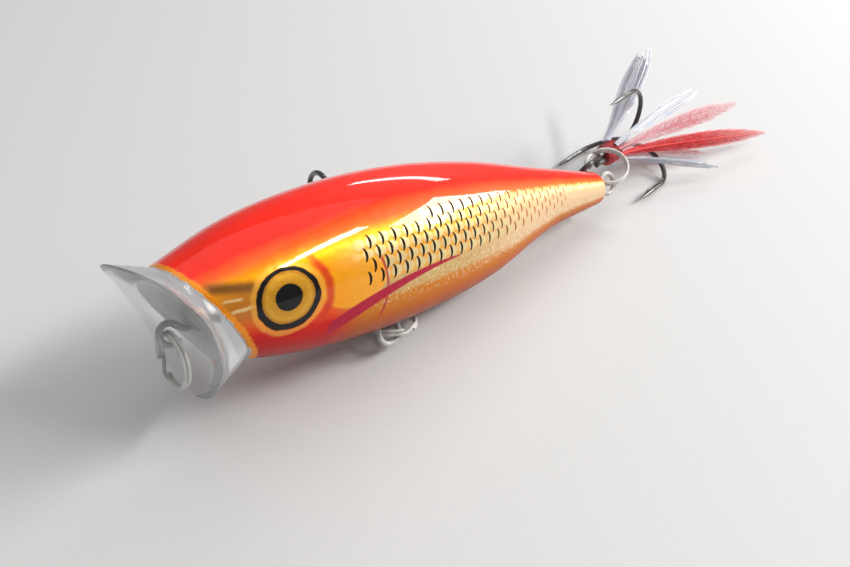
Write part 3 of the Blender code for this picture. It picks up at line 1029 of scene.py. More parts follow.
def loft(name: str, rings: Sequence[Sequence[Vector]], place: Matrix, material: Material) -> Object:
    """A closed skin over rings of equal length, capped by a fan at each end.

    Args:
        name: Name of the piece.
        rings: Rings of points in the piece's own frame.
        place: That frame in the world.
        material: Finish of the piece.

    Returns:
        The new object, with its mesh in the world frame.
    """
    sides = len(rings[0])
    verts = [place @ point for ring in rings for point in ring]
    faces = []
    for i in range(len(rings) - 1):
        for k in range(sides):
            following = (k + 1) % sides
            faces.append(
                (
                    i * sides + k,
                    i * sides + following,
                    (i + 1) * sides + following,
                    (i + 1) * sides + k,
                )
            )
    for first in (0, (len(rings) - 1) * sides):
        ring = verts[first:first + sides]
        centre = sum(ring, Vector()) / sides
        verts.append(centre)
        hub = len(verts) - 1
        faces += [(first + k, first + (k + 1) % sides, hub) for k in range(sides)]
    mesh = bpy.data.meshes.new(name)
    mesh.from_pydata([tuple(v) for v in verts], [], faces)
    settle_mesh(mesh)
    mesh.materials.append(material)
    return add_object(name, mesh)


def frame_matrix(origin: Vector, x_axis: Vector, z_axis: Vector) -> Matrix:
    """A frame with its X along x_axis and its Z as near z_axis as it can be.

    Args:
        origin: Origin of the frame.
        x_axis: Direction of its X.
        z_axis: Direction near its Z.

    Returns:
        The frame as a matrix.
    """
    x_axis = Vector(x_axis).normalized()
    z_axis = Vector(z_axis)
    z_axis = (z_axis - z_axis.dot(x_axis) * x_axis).normalized()
    matrix = Matrix((x_axis, z_axis.cross(x_axis), z_axis)).transposed().to_4x4()
    matrix.translation = origin
    return matrix


def heading_vector(heading_deg: float, slope_deg: float) -> Vector:
    """Unit vector at a compass heading and a slope above the floor."""
    heading, slope = math.radians(heading_deg), math.radians(slope_deg)
    return Vector(
        (math.cos(slope) * math.cos(heading), math.cos(slope) * math.sin(heading), math.sin(slope))
    )


def full_turn(steps: int) -> list[float]:
    """Angles of evenly spaced steps round a circle, in radians."""
    return [2 * math.pi * step / steps for step in range(steps)]


def circle_point(radius: float, turn: float, z: float = 0.0) -> Vector:
    """A point of a level circle round the Z axis."""
    return Vector((radius * math.cos(turn), radius * math.sin(turn), z))


def joint_place(name: str) -> Vector:
    """Where the record puts a joint, in metres."""
    found = next(joint for joint in frame["joints"] if joint["name"] == name)
    return Vector(found["pos_m"])


def grow(
    name: str,
    points: Iterable[Vector],
    tree: NodeTree,
    inputs: dict[str, object],
    radii: Sequence[float] | None = None,
) -> Object:
    """Runs a geometry tree over a path and keeps its plain mesh.

    Args:
        name: Name of the piece.
        points: Path in the world frame; one point is enough for a tree that needs none.
        tree: Geometry node tree.
        inputs: Values of the tree's named inputs.
        radii: Wire radius at each point, for trees that read it.

    Returns:
        The new object, with no modifier left on it.
    """
    path = [tuple(point) for point in points]
    mesh = bpy.data.meshes.new(name + "_path")
    mesh.from_pydata(path, [(i, i + 1) for i in range(len(path) - 1)], [])
    if radii is not None:
        mesh.attributes.new(WIRE_RADIUS, "FLOAT", "POINT").data.foreach_set("value", list(radii))
    return run_tree(name, add_object(name + "_path", mesh), tree, inputs)


def run_tree(name: str, base: Object, tree: NodeTree, inputs: dict) -> Object:
    """Applies a geometry tree to a base object, keeps the result and removes the base.

    Args:
        name: Name of the new object.
        base: Object that the tree reads.
        tree: Geometry node tree.
        inputs: Values of the tree's named inputs.

    Returns:
        The new object.
    """
    modifier = base.modifiers.new(tree.name, "NODES")
    modifier.node_group = tree
    sockets = {s.name: s.identifier for s in tree.interface.items_tree if s.in_out == "INPUT"}
    for key, value in inputs.items():
        modifier[sockets[key]] = value
    evaluated = base.evaluated_get(bpy.context.evaluated_depsgraph_get())
    mesh = bpy.data.meshes.new_from_object(evaluated)
    mesh.name = name
    bpy.data.objects.remove(base, do_unlink=True)
    settle_mesh(mesh)
    return add_object(name, mesh)


class GrowTrees:
    """Geometry node trees for what follows a path or repeats along one."""

    def __init__(self) -> None:
        """Builds the trees once."""
        self.wire = self.make_wire_tree()
        self.barbs = self.make_barb_tree()
        self.strands = self.make_strand_tree()
        self.winding = self.make_winding_tree()
        self.crescents = self.make_crescent_tree()

    @staticmethod
    def finish(group: NodeGroup, geometry: object) -> NodeTree:
        """Ends a tree in Realize Instances and Set Material.

        Args:
            group: The tree being built.
            geometry: What the tree has made.

        Returns:
            The finished tree.
        """
        real = group.call("GeometryNodeRealizeInstances", {"Geometry": geometry})
        dressed = group.call(
            "GeometryNodeSetMaterial", {"Geometry": real, "Material": group.given["Material"]}
        )
        group.feed(group.result["Geometry"], dressed)
        return group.tree

    @staticmethod
    def start(name: str, **inputs: str) -> tuple[NodeGroup, dict[str, Signal]]:
        """Starts a tree that takes a geometry, these inputs and a material.

        Args:
            name: Name of the tree.
            **inputs: Socket type by name, with _ for each space.

        Returns:
            The tree and its inputs by name.
        """
        kinds = {"Geometry": GEOMETRY, **inputs, "Material": MATERIAL}
        sockets = {key.replace("_", " "): (kind, None) for key, kind in kinds.items()}
        group = NodeGroup(name, "GeometryNodeTree", sockets, {"Geometry": GEOMETRY})
        return group, group.given

    @staticmethod
    def curve(group: NodeGroup) -> Signal:
        """The given geometry as a curve."""
        return group.call("GeometryNodeMeshToCurve", {"Mesh": group.given["Geometry"]})

    @staticmethod
    def round_profile(group: NodeGroup, sides: object) -> Signal:
        """A circle of unit radius for a sweep."""
        return group.call("GeometryNodeCurvePrimitiveCircle", {"Resolution": sides, "Radius": 1.0})

    @staticmethod
    def sweep(group: NodeGroup, curve: object, radius: object, profile: object) -> Signal:
        """Sweeps a profile along a curve whose radius scales it.

        Args:
            group: The tree being built.
            curve: The path.
            radius: Scale of the profile along it.
            profile: Curve to sweep.

        Returns:
            The swept mesh.
        """
        sized = group.call("GeometryNodeSetCurveRadius", {"Curve": curve, "Radius": radius})
        node = group.add("GeometryNodeCurveToMesh")
        inputs = {"Curve": sized, "Profile Curve": profile, "Fill Caps": True, "Scale": radius}
        for key, value in inputs.items():
            if key in node.inputs:
                group.feed(node.inputs[key], value)
        return group.signal(node.outputs["Mesh"])

    @staticmethod
    def aim(
        group: NodeGroup, rotation: object, vector: object, axis: str, pivot: str = "AUTO"
    ) -> Signal:
        """Turns a rotation so that an axis points along a vector.

        Args:
            group: The tree being built.
            rotation: Rotation to start from, or None.
            vector: Where the axis points.
            axis: Axis to point.
            pivot: Axis to turn about.

        Returns:
            The new rotation.
        """
        inputs = {"Vector": vector}
        if rotation is not None:
            inputs["Rotation"] = rotation
        kind = "FunctionNodeAlignRotationToVector"
        return group.call(kind, inputs, axis=axis, pivot_axis=pivot)

    def make_wire_tree(self) -> NodeTree:
        """Round wire along a path, with its radius from the path.

        Returns:
            The finished tree.
        """
        group, given = self.start("drawn_wire", Sides=INTEGER)
        profile = self.round_profile(group, given["Sides"])
        return self.finish(
            group, self.sweep(group, self.curve(group), group.attribute(WIRE_RADIUS), profile)
        )

    def make_barb_tree(self) -> NodeTree:
        """A feather: a tapered quill with swept, tapered barbs on both sides.

        Returns:
            The finished tree.
        """
        group, given = self.start(
            "hackle_barbs",
            Barbs=INTEGER,
            Barb_Length=FLOAT,
            Barb_Radius=FLOAT,
            Fluff=FLOAT,
            Across=VECTOR,
            Seed=INTEGER,
        )
        curve = self.curve(group)
        share = group.call("GeometryNodeSplineParameter", {})
        taper = group.remap(share, (0.0, 1.0), (0.17 * MM, 0.03 * MM))
        parts = [self.sweep(group, curve, taper, self.round_profile(group, 6))]
        bar = group.call("GeometryNodeCurveQuadraticBezier", {
            "Resolution": 5,
            "Start": (0.0, 0.0, 0.0),
            "Middle": (0.45, 0.35, 0.0),
            "End": (0.50, 1.15, 0.0),
        })
        bar_share = group.call("GeometryNodeSplineParameter", {})
        bar_taper = group.remap(bar_share, (0.0, 1.0), (1.0, 0.25))
        bar_radius = bar_taper * (given["Barb Radius"] / given["Barb Length"])
        barb = self.sweep(group, bar, bar_radius, self.round_profile(group, 3))
        spots = group.call("GeometryNodeResampleCurve", {"Curve": curve, "Count": given["Barbs"]})
        tangent = group.call("GeometryNodeInputTangent", {})
        swell = group.math("SINE", share * 2.7)
        envelope = (0.35 + swell * 0.65) * (1.0 - share**5.0 * 0.8)
        for number, sign in enumerate((1.0, -1.0)):
            seed = given["Seed"] + 10.0 * number
            spread = group.add("FunctionNodeRandomValue", data_type="FLOAT_VECTOR")
            spread.inputs["Min"].default_value = (-1.0, -1.0, -1.0)
            group.feed(spread.inputs["Seed"], seed)
            fluff = group.scaled(group.signal(spread.outputs["Value"]), given["Fluff"])
            towards = group.vector("ADD", group.scaled(given["Across"], sign), fluff)
            turned = self.aim(group, self.aim(group, None, tangent, "Y"), towards, "X", "Y")
            length = self.draw(group, None, seed + 5.0, 0.7, 1.15)
            size = length * envelope * given["Barb Length"]
            parts.append(group.call("GeometryNodeInstanceOnPoints", {
                "Points": spots,
                "Instance": barb,
                "Rotation": turned,
                "Scale": group.combine(size, size, size),
            }))
        joined = group.add("GeometryNodeJoinGeometry")
        for part in parts:
            group.feed(joined.inputs[0], part)
        return self.finish(group, group.signal(joined.outputs[0]))

    def make_strand_tree(self) -> NodeTree:
        """A bunch of thin foil strands spread about one path and cut to uneven ends.

        Returns:
            The finished tree.
        """
        group, given = self.start(
            "foil_strands",
            Strands=INTEGER,
            Spread=FLOAT,
            Depth=FLOAT,
            Strand_Width=FLOAT,
            Shortest=FLOAT,
            Across=VECTOR,
            Flat=VECTOR,
            Seed=INTEGER,
        )
        copies = group.add("GeometryNodeDuplicateElements", domain="SPLINE")
        group.feed(copies.inputs["Geometry"], self.curve(group))
        group.feed(copies.inputs["Amount"], given["Strands"])
        share = group.call("GeometryNodeSplineParameter", {})
        swell = group.math("SINE", (0.05 + share**1.5 * 0.85) * math.pi)
        reach = (0.15 + swell * 0.85) * given["Spread"]
        numbered = group.call("GeometryNodeStoreNamedAttribute", {
            "Geometry": group.signal(copies.outputs["Geometry"]),
            "Name": STRAND_NUMBER,
            "Value": group.signal(copies.outputs["Duplicate Index"]),
        }, data_type="FLOAT", domain="CURVE")
        strand = group.attribute(STRAND_NUMBER)
        offsets = []
        for step, direction, depth in ((0.0, "Across", None), (50.0, "Flat", given["Depth"])):
            amount = self.draw(group, strand, given["Seed"] + step, -1.0, 1.0) * reach
            if depth:
                amount = amount * depth
            offsets.append(group.scaled(given[direction], amount))
        inputs = {"Geometry": numbered, "Offset": group.vector("ADD", *offsets)}
        trim = group.add("GeometryNodeTrimCurve", mode="FACTOR")
        group.feed(trim.inputs["Curve"], group.call("GeometryNodeSetPosition", inputs))
        end = self.draw(group, strand, given["Seed"] + 90.0, given["Shortest"], 1.0)
        group.feed(group.free(trim.inputs, "End")[0], end)
        twist = self.draw(group, strand, given["Seed"] + 130.0, -2.5, 2.5)
        inputs = {"Curve": group.signal(trim.outputs[0]), "Tilt": twist * share}
        tilted = group.call("GeometryNodeSetCurveTilt", inputs)
        profile = group.call(
            "GeometryNodeCurvePrimitiveQuadrilateral", {"Width": 2.0, "Height": 0.16}
        )
        half = given["Strand Width"] * 0.5
        return self.finish(group, self.sweep(group, tilted, half, profile))

    @staticmethod
    def draw(group: NodeGroup, number: object, seed: object, low: object, high: object) -> Signal:
        """A random number between low and high for each number, or each element if None.

        Args:
            group: The tree being built.
            number: Number of each strand, or None.
            seed: Seed of the draw.
            low: Least value.
            high: Greatest value.

        Returns:
            The random number.
        """
        node = group.add("FunctionNodeRandomValue", data_type="FLOAT")
        group.feed(group.free(node.inputs, "Min")[0], low)
        group.feed(group.free(node.inputs, "Max")[0], high)
        if number is not None:
            group.feed(node.inputs["ID"], number)
        group.feed(node.inputs["Seed"], seed)
        return group.signal(group.free(node.outputs)[0])

    def make_winding_tree(self) -> NodeTree:
        """Thread wound along a path that is already a helix, laid on with uneven tension.

        Returns:
            The finished tree.
        """
        group, given = self.start("thread_turns", Thread_Radius=FLOAT, Unevenness=FLOAT)
        inputs = {"Vector": group.call("GeometryNodeInputPosition", {}), "Scale": 900.0}
        wander = group.call("ShaderNodeTexNoise", inputs, output="Color")
        shift = group.scaled(group.vector("SUBTRACT", wander, (0.5, 0.5, 0.5)), given["Unevenness"])
        inputs = {"Geometry": self.curve(group), "Offset": shift}
        moved = group.call("GeometryNodeSetPosition", inputs)
        return self.finish(
            group, self.sweep(group, moved, given["Thread Radius"], self.round_profile(group, 6))
        )

    def make_crescent_tree(self) -> NodeTree:
        """Raised ink crescents on a staggered grid laid on the flank by its girth map.

        Returns:
            The finished tree.
        """
        group, given = self.start(
            "scale_crescents",
            Rows=INTEGER,
            Columns=INTEGER,
            Start=FLOAT,
            Late_Rows=FLOAT,
            Pitch=FLOAT,
            Row_Start=FLOAT,
            Row_Turn=FLOAT,
            Map_Shift=FLOAT,
            Size=FLOAT,
            Thickness=FLOAT,
            Nose_To_Tail=VECTOR,
        )
        count = given["Rows"] * given["Columns"]
        line = group.call("GeometryNodeMeshLine", {"Count": count})
        index = group.call("GeometryNodeInputIndex", {})
        row = group.math("MODULO", index, given["Rows"])
        column = group.math("FLOOR", (index + 0.001) / given["Rows"])
        stagger = group.math("PINGPONG", row, 1.0) * 0.5
        along = (column + stagger) * given["Pitch"]
        late = group.math("COMPARE", row, 0.0) * given["Late Rows"]
        place_x = along + given["Start"] + late
        u = place_x / 100.0 + given["Map Shift"]
        turn = row * given["Row Turn"] + given["Row Start"]
        sample = group.combine(u, turn / HALF_TURN, 0.0)
        source = group.attribute(GIRTH_MAP, "FLOAT_VECTOR")
        found = []
        for kind in ("GeometryNodeInputPosition", "GeometryNodeInputNormal"):
            node = group.add("GeometryNodeSampleUVSurface", data_type="FLOAT_VECTOR")
            uv_name = "UV Map" if "UV Map" in node.inputs else "Source UV Map"
            group.feed(group.free(node.inputs)[0], group.call(kind, {}))
            for key, value in (
                ("Mesh", given["Geometry"]), (uv_name, source), ("Sample UV", sample)
            ):
                group.feed(node.inputs[key], value)
            found.append(group.signal(group.free(node.outputs)[0]))
        laid = group.call("GeometryNodeSetPosition", {"Geometry": line, "Position": found[0]})
        turned = self.aim(
            group, self.aim(group, None, found[1], "Z"), given["Nose To Tail"], "X", "Z"
        )
        inputs = {"Resolution": 7, "Radius": 1.0, "Start Angle": -1.0, "Sweep Angle": 2.0}
        arc = group.call("GeometryNodeCurveArc", inputs, output="Curve", mode="RADIUS")
        share = group.call("GeometryNodeSplineParameter", {})
        swell = group.math("SINE", share * math.pi)
        radius = (0.15 + swell) * given["Thickness"]
        crescent = self.sweep(group, arc, radius, self.round_profile(group, 4))
        size = given["Size"] * group.remap(place_x, (34.0, 58.0), (1.0, 0.42))
        stretch = group.combine(*(size * part for part in (0.85, 1.12, 0.25)))
        placed = group.call("GeometryNodeInstanceOnPoints", {
            "Points": laid, "Instance": crescent, "Rotation": turned, "Scale": stretch,
        })
        return self.finish(group, placed)


# --------------------------------------------------------------------- the plug


@dataclass
class PlugShape:
    """Shape of the wooden body and the place of its frame in the world."""

    roll_deg: float = -27.9
    pitch_deg: float = 9.0
    length: float = 64.3 * MM
    stations: tuple = (
        (0.00, 5.55, -4.26, 5.48),
        (0.13, 8.32, -6.67, 7.16),
        (0.30, 9.86, -8.19, 7.76),
        (0.48, 9.75, -8.15, 7.33),
        (0.66, 8.01, -6.78, 5.79),
        (0.84, 4.96, -3.49, 3.93),
        (1.00, 2.32, -2.32, 2.49),
    )
    face_top_z: float = 5.55 * MM
    face_run: float = 7.21 * MM
    face_drop: float = 11.75 * MM
    tail_dome: float = 1.2 * MM
    tail_eye: Vector = field(default_factory=lambda: Vector((67.7, 0.0, 0.0)) * MM)
    place: Matrix = field(init=False)

    def __post_init__(self) -> None:
        """Puts the frame so that the tail eye lies on the tail ring's joint."""
        turn = Euler((math.radians(self.roll_deg), math.radians(self.pitch_deg), 0)).to_matrix()
        origin = joint_place("tail_ring_swing") - turn @ self.tail_eye
        self.place = Matrix.Translation(origin) @ turn.to_4x4()

    def section(self, x: float) -> tuple[float, float, float]:
        """Middle height, half-height and half-width of the body at x.

        Args:
            x: Place from the nose, in metres.

        Returns:
            The three measures, in metres.
        """
        share = x / self.length
        back, belly, half_width = (
            smooth_value(
                tuple((s[0], s[column]) for s in self.stations), share
            ) * MM for column in (1, 2, 3)
        )
        return (back + belly) / 2, (back - belly) / 2, half_width

    def surface(self, x: float, angle: float, shrink: float = 1.0) -> Vector:
        """Point of the skin at x; angle 0 is the back and pi the belly."""
        middle, half_height, half_width = self.section(x)
        return Vector((
            x,
            half_width * shrink * math.sin(angle),
            middle + half_height * shrink * math.cos(angle),
        ))

    def face_x(self, z: float) -> float:
        """Where the slanted front face is at this height."""
        return self.face_run * (self.face_top_z - z) / self.face_drop

    def face_point(self, angle: float) -> Vector:
        """Where the skin line of this angle meets the front face.

        Args:
            angle: Turn from the back, in radians.

        Returns:
            The point.
        """
        x = 0.0
        for _ in range(12):
            x = max(0.0, self.face_x(self.surface(x, angle).z))
        point = self.surface(x, angle)
        point.x = self.face_x(point.z)
        return point


@dataclass
class PaintedBody:
    """The wooden body, both halves under one unbroken coat of paint, with inked scales."""

    shape: PlugShape
    around: int = 144
    along: int = 150
    dome_rings: int = 10
    edge_round: float = 0.25 * MM
    dome_turn_deg: float = 74.0
    crescent_size: float = 0.84 * MM

    def rings(self) -> list[list[Vector]]:
        """Rings of the skin from the front face's rim over the tail's dome.

        Returns:
            The rings, from front to back.
        """
        angles = full_turn(self.around)
        starts = [self.shape.face_point(angle) for angle in angles]
        hub = sum(starts, Vector()) / len(starts)
        rings = [[hub.lerp(start, share) for start in starts] for share in (0.3, 0.6, 0.9, 0.97)]
        rings.append([start.lerp(hub, 0.012) for start in starts])
        for i in range(1, self.along + 1):
            share = (i / self.along) ** 1.15
            ring = []
            for angle, start in zip(angles, starts):
                first = start.x + 0.6 * self.edge_round
                ring.append(self.shape.surface(first + (self.shape.length - first) * share, angle))
            rings.append(ring)
        for i in range(1, self.dome_rings + 1):
            turn = math.radians(self.dome_turn_deg) * i / self.dome_rings
            ring = []
            for angle in angles:
                point = self.shape.surface(self.shape.length, angle, math.cos(turn))
                point.x += self.shape.tail_dome * math.sin(turn)
                ring.append(point)
            rings.append(ring)
        return rings

    def map_girth(self, mesh: Mesh) -> None:
        """Adds the girth map: U is the place along the body, V the turn from the back.

        Args:
            mesh: The body's mesh.
        """
        to_local = self.shape.place.inverted()
        local = [to_local @ vert.co for vert in mesh.vertices]
        turns = []
        for point in local:
            middle, half_height, half_width = self.shape.section(
                min(max(point.x, 0.0), self.shape.length)
            )
            turns.append(
                math.atan2(abs(point.y) / half_width, (point.z - middle) / half_height) / math.pi
            )
        layer = mesh.uv_layers.new(name=GIRTH_MAP)
        for face in mesh.polygons:
            side = sum(local[v].y for v in face.vertices)
            shift = 1.0 if side > 0 else 0.0
            for loop in face.loop_indices:
                vert = mesh.loops[loop].vertex_index
                layer.data[loop].uv = (local[vert].x / MM / 100.0 + shift, turns[vert])

    def build(self, effects: Effects, trees: GrowTrees) -> None:
        """Builds the body and its ink, and hangs both on the plug.

        Args:
            effects: Shared shader groups.
            trees: Shared geometry trees.
        """
        scheme = PaintScheme(
            "painted_body",
            roughness=0.40,
            coat=1.0,
            coat_roughness=0.03,
            coat_ior=1.34,
            specular=0.12,
            bump=0.10,
        )
        paint = scheme.build(effects, self.shape)
        body = loft("painted_body", self.rings(), self.shape.place, paint)
        self.map_girth(body.data)
        ink = InkFinish(
            "scale_ink", roughness=0.5, specular=0.1, bump=0.1
        ).build(effects, self.shape.place)
        for side in Side:
            base = body.copy()
            base.data = body.data.copy()
            bpy.context.scene.collection.objects.link(base)
            piece = run_tree("scale_ink_" + side.name.lower(), base, trees.crescents, {
                "Rows": 5,
                "Columns": 21,
                "Start": scheme.scale_start + 1.0 * scheme.scale_pitch,
                "Late Rows": 6.0 * scheme.scale_pitch,
                "Pitch": scheme.scale_pitch,
                "Row Start": scheme.row_start,
                "Row Turn": scheme.row_turn,
                "Map Shift": 1.0 if side is Side.RIGHT else 0.0,
                "Size": self.crescent_size,
                "Thickness": 0.22,
                "Nose To Tail": self.shape.place.to_3x3() @ Vector((1, 0, 0)),
                "Material": ink,
            })
            hang(piece, "plug", "painted_body")
        hang(body, "plug", "painted_body", "body_half_left", "body_half_right")


def hang(piece: Object, body: str, slot: str, *nodes: str) -> None:
    """Makes a piece ride on a body and stand for CAD nodes.

    Args:
        piece: The finished object.
        body: Body that it rides on.
        slot: Material slot's name in the record; not used.
        *nodes: CAD nodes that it stands for, if any.
    """
    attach(piece, body)
    if nodes:
        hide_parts(*nodes)
    LOG.info("%s: %d faces, rides on %s", piece.name, len(piece.data.polygons), body)


@dataclass
class ClearLip:
    """The clear scooped cup on the nose, from the body's front face to its flared rim."""

    shape: PlugShape
    rim_radius: float = 8.0 * MM
    rim_centre_z: float = -1.0 * MM
    rim_profile: tuple = (
        (7.0, -4.5), (5.0, -2.3), (2.5, -0.6), (0.0, 0.8), (-3.0, 1.55), (-9.0, 1.9)
    )
    cup_profile: tuple = (
        (7.0, -4.5), (5.5, -3.06), (3.1, -0.9), (0.15, 1.3),
        (-1.5, 2.4), (-4.85, 3.7), (-7.0, 3.4), (-9.0, 1.9),
    )
    wall: float = 0.9 * MM
    gap: float = 0.1 * MM
    waist: float = 0.05
    edge_proud: float = 0.22 * MM
    sides: int = 128
    flare_steps: int = 12
    edge_steps: int = 6
    cup_steps: int = 24

    def rim_point(self, angle: float, scale: float = 1.0) -> Vector:
        """Point of the rim at this angle, or inside the cup at a smaller scale.

        Args:
            angle: Turn from the back, in radians.
            scale: Share of the rim radius.

        Returns:
            The point.
        """
        z = self.rim_centre_z + self.rim_radius * scale * math.cos(angle)
        y = self.rim_radius * scale * math.sin(angle)
        rim_z = (self.rim_centre_z + self.rim_radius * math.cos(angle)) / MM
        dish = smooth_value(self.cup_profile, z / MM)
        lift = smooth_value(self.rim_profile, rim_z) - smooth_value(self.cup_profile, rim_z)
        return Vector(((dish + lift * scale**4) * MM, y, z))

    def rings(self) -> list[list[Vector]]:
        """Rings from the middle of the back face over the rim to the middle of the cup.

        Returns:
            The rings.
        """
        angles = full_turn(self.sides)
        back = [self.shape.face_point(angle) - Vector((self.gap, 0, 0)) for angle in angles]
        rim = [self.rim_point(angle) for angle in angles]
        hub = sum(back, Vector()) / len(back)
        rings = [[hub.lerp(point, share) for point in back] for share in (0.5, 0.97)]
        for step in range(self.flare_steps + 1):
            share = step / self.flare_steps
            sink = 1 - self.waist * math.sin(math.pi * share)
            flare = [rear.lerp(front, share) for rear, front in zip(back, rim)]
            rings.append([Vector((point.x, point.y * sink, point.z)) for point in flare])
        inner = 1 - self.wall / self.rim_radius
        for step in range(1, self.edge_steps + 1):
            turn = math.pi * step / self.edge_steps
            scale = inner + (1 - inner) * 0.5 * (1 + math.cos(turn))
            proud = Vector((self.edge_proud * math.sin(turn), 0, 0))
            rings.append([self.rim_point(angle, scale) - proud for angle in angles])
        for step in range(1, self.cup_steps):
            scale = inner * (1 - step / self.cup_steps)
            rings.append([self.rim_point(angle, scale) for angle in angles])
        return rings

    def build(self, effects: Effects) -> None:
        """Builds the lip with a rounded rim and hangs it on the plug.

        Args:
            effects: Shared shader groups.
        """
        finish = ClearFinish(
            "clear_lip", roughness=0.14, bump=0.08, ior=1.33, tint=(0.93, 0.94, 0.95)
        )
        material = finish.build(effects, self.shape.place)
        piece = loft("cup_lip_moulding", self.rings(), self.shape.place, material)
        hang(piece, "plug", "clear_lip", "cup_lip")


@dataclass
class ThroughWire:
    """One bent wire: line tie, belly hanger and tail eye."""

    shape: PlugShape
    radius: float = 0.36 * MM
    line_tie: Vector = field(default_factory=lambda: Vector((0.15, 0.0, -1.5)) * MM)
    nose_loop: float = 1.12 * MM
    tail_loop: float = 1.4 * MM
    open_deg: float = 35.0
    neck: float = 0.75 * MM
    hanger_front_x: float = 25.0 * MM
    hanger_rear_x: float = 27.85 * MM
    hanger_bottom_z: float = -10.65 * MM
    level_z: float = -1.5 * MM
    bend: float = 1.3 * MM
    tail_run: float = 8.0 * MM

    def loop(self, centre: Vector, opens: float, radius: float, steps: int = 48) -> list[Vector]:
        """Points round an open loop in the centre plane.

        Args:
            centre: Middle of the loop.
            opens: 1 if it opens towards the tail, -1 towards the nose.
            radius: Radius of the loop.
            steps: Steps round it.

        Returns:
            The points.
        """
        points = []
        for step in range(steps + 1):
            turn = math.radians(self.open_deg + (360 - 2 * self.open_deg) * step / steps)
            points.append(
                centre + Vector((opens * radius * math.cos(turn), 0, radius * math.sin(turn)))
            )
        return points

    def rounded(self, corners: Sequence[Vector], steps: int = 12) -> list[Vector]:
        """The corners joined by straight runs, with each inner corner rounded.

        Args:
            corners: Corners of the path.
            steps: Steps round each bend.

        Returns:
            The path.
        """
        path = [corners[0]]
        for before, corner, after in zip(corners, corners[1:], corners[2:]):
            back = (before - corner).normalized()
            ahead = (after - corner).normalized()
            half = back.angle(ahead) / 2
            centre = corner + (back + ahead).normalized() * (self.bend / math.sin(half))
            start = corner + back * (self.bend / math.tan(half)) - centre
            finish = corner + ahead * (self.bend / math.tan(half)) - centre
            for step in range(steps + 1):
                arm = start.slerp(finish, step / steps).normalized() * self.bend
                path.append(centre + arm)
        path.append(corners[-1])
        return path

    def build(self, effects: Effects, trees: GrowTrees) -> None:
        """Draws the wire along its path.

        Args:
            effects: Shared shader groups.
            trees: Shared geometry trees.
        """
        tail = self.shape.tail_eye
        corners = [
            self.line_tie + Vector((self.nose_loop + self.neck, 0, 0)),
            Vector((self.hanger_front_x, 0, self.level_z)),
            Vector((self.hanger_front_x, 0, self.hanger_bottom_z)),
            Vector((self.hanger_rear_x, 0, self.hanger_bottom_z)),
            Vector((self.hanger_rear_x, 0, self.level_z)),
            Vector((tail.x - self.tail_run, 0, tail.z)),
            tail - Vector((self.tail_loop + self.neck, 0, 0)),
        ]
        path = list(reversed(self.loop(self.line_tie, 1, self.nose_loop)))
        path += self.rounded(corners) + self.loop(tail, -1, self.tail_loop)
        finish = MetalFinish(
            "stainless_wire",
            roughness=0.14,
            bump=0.12,
            colour=(0.52, 0.51, 0.49),
            tarnish=(0.30, 0.29, 0.27),
        )
        piece = grow(
            "through_wire_drawn",
            [self.shape.place @ point for point in path],
            trees.wire,
            {"Sides": 18, "Material": finish.build(effects, self.shape.place)},
            [self.radius] * len(path),
        )
        hang(piece, "plug", "stainless_wire", "through_wire")


@dataclass
class SplitRing:
    """A split ring of two turns of round wire, on its joint's anchor."""

    name: str
    heading: Vector
    normal: Vector
    gap_deg: float
    radius: float = 2.95 * MM
    wire: float = 0.22 * MM
    turn_offset: float = 0.24 * MM
    crossing_deg: float = 34.0
    steps: int = 240
    worn_steps: int = 12
    worn_end: float = 0.88

    def path(self) -> list[Vector]:
        """Two turns that step sideways once, round the ring's own middle.

        Returns:
            The path.
        """
        turns = 720.0 - self.crossing_deg
        points = []
        for step in range(self.steps + 1):
            run = turns * step / self.steps
            ramp = min(1.0, max(0.0, (run - (360 - self.crossing_deg)) / self.crossing_deg))
            ease = ramp * ramp * (3 - 2 * ramp)
            turn = math.radians(self.gap_deg + run)
            points.append(Vector((
                self.radius * (1 + math.cos(turn)),
                self.radius * math.sin(turn),
                self.turn_offset * (2 * ease - 1),
            )))
        return points

    def build(self, trees: GrowTrees, finish: Material) -> None:
        """Draws the ring on its frame and hangs it on its body.

        Args:
            trees: Shared geometry trees.
            finish: Material of the piece.
        """
        place = frame_matrix(joint_place(f"{self.name}_ring_swing"), self.heading, self.normal)
        points = [place @ point for point in self.path()]
        radii = [self.wire] * len(points)
        for i in range(self.worn_steps):
            share = self.worn_end + (1 - self.worn_end) * i / self.worn_steps
            radii[i] = radii[-1 - i] = self.wire * share
        inputs = {"Sides": 14, "Material": finish}
        piece = grow(f"{self.name}_ring_coil", points, trees.wire, inputs, radii)
        hang(piece, f"{self.name}_ring", "split_ring", f"{self.name}_split_ring")


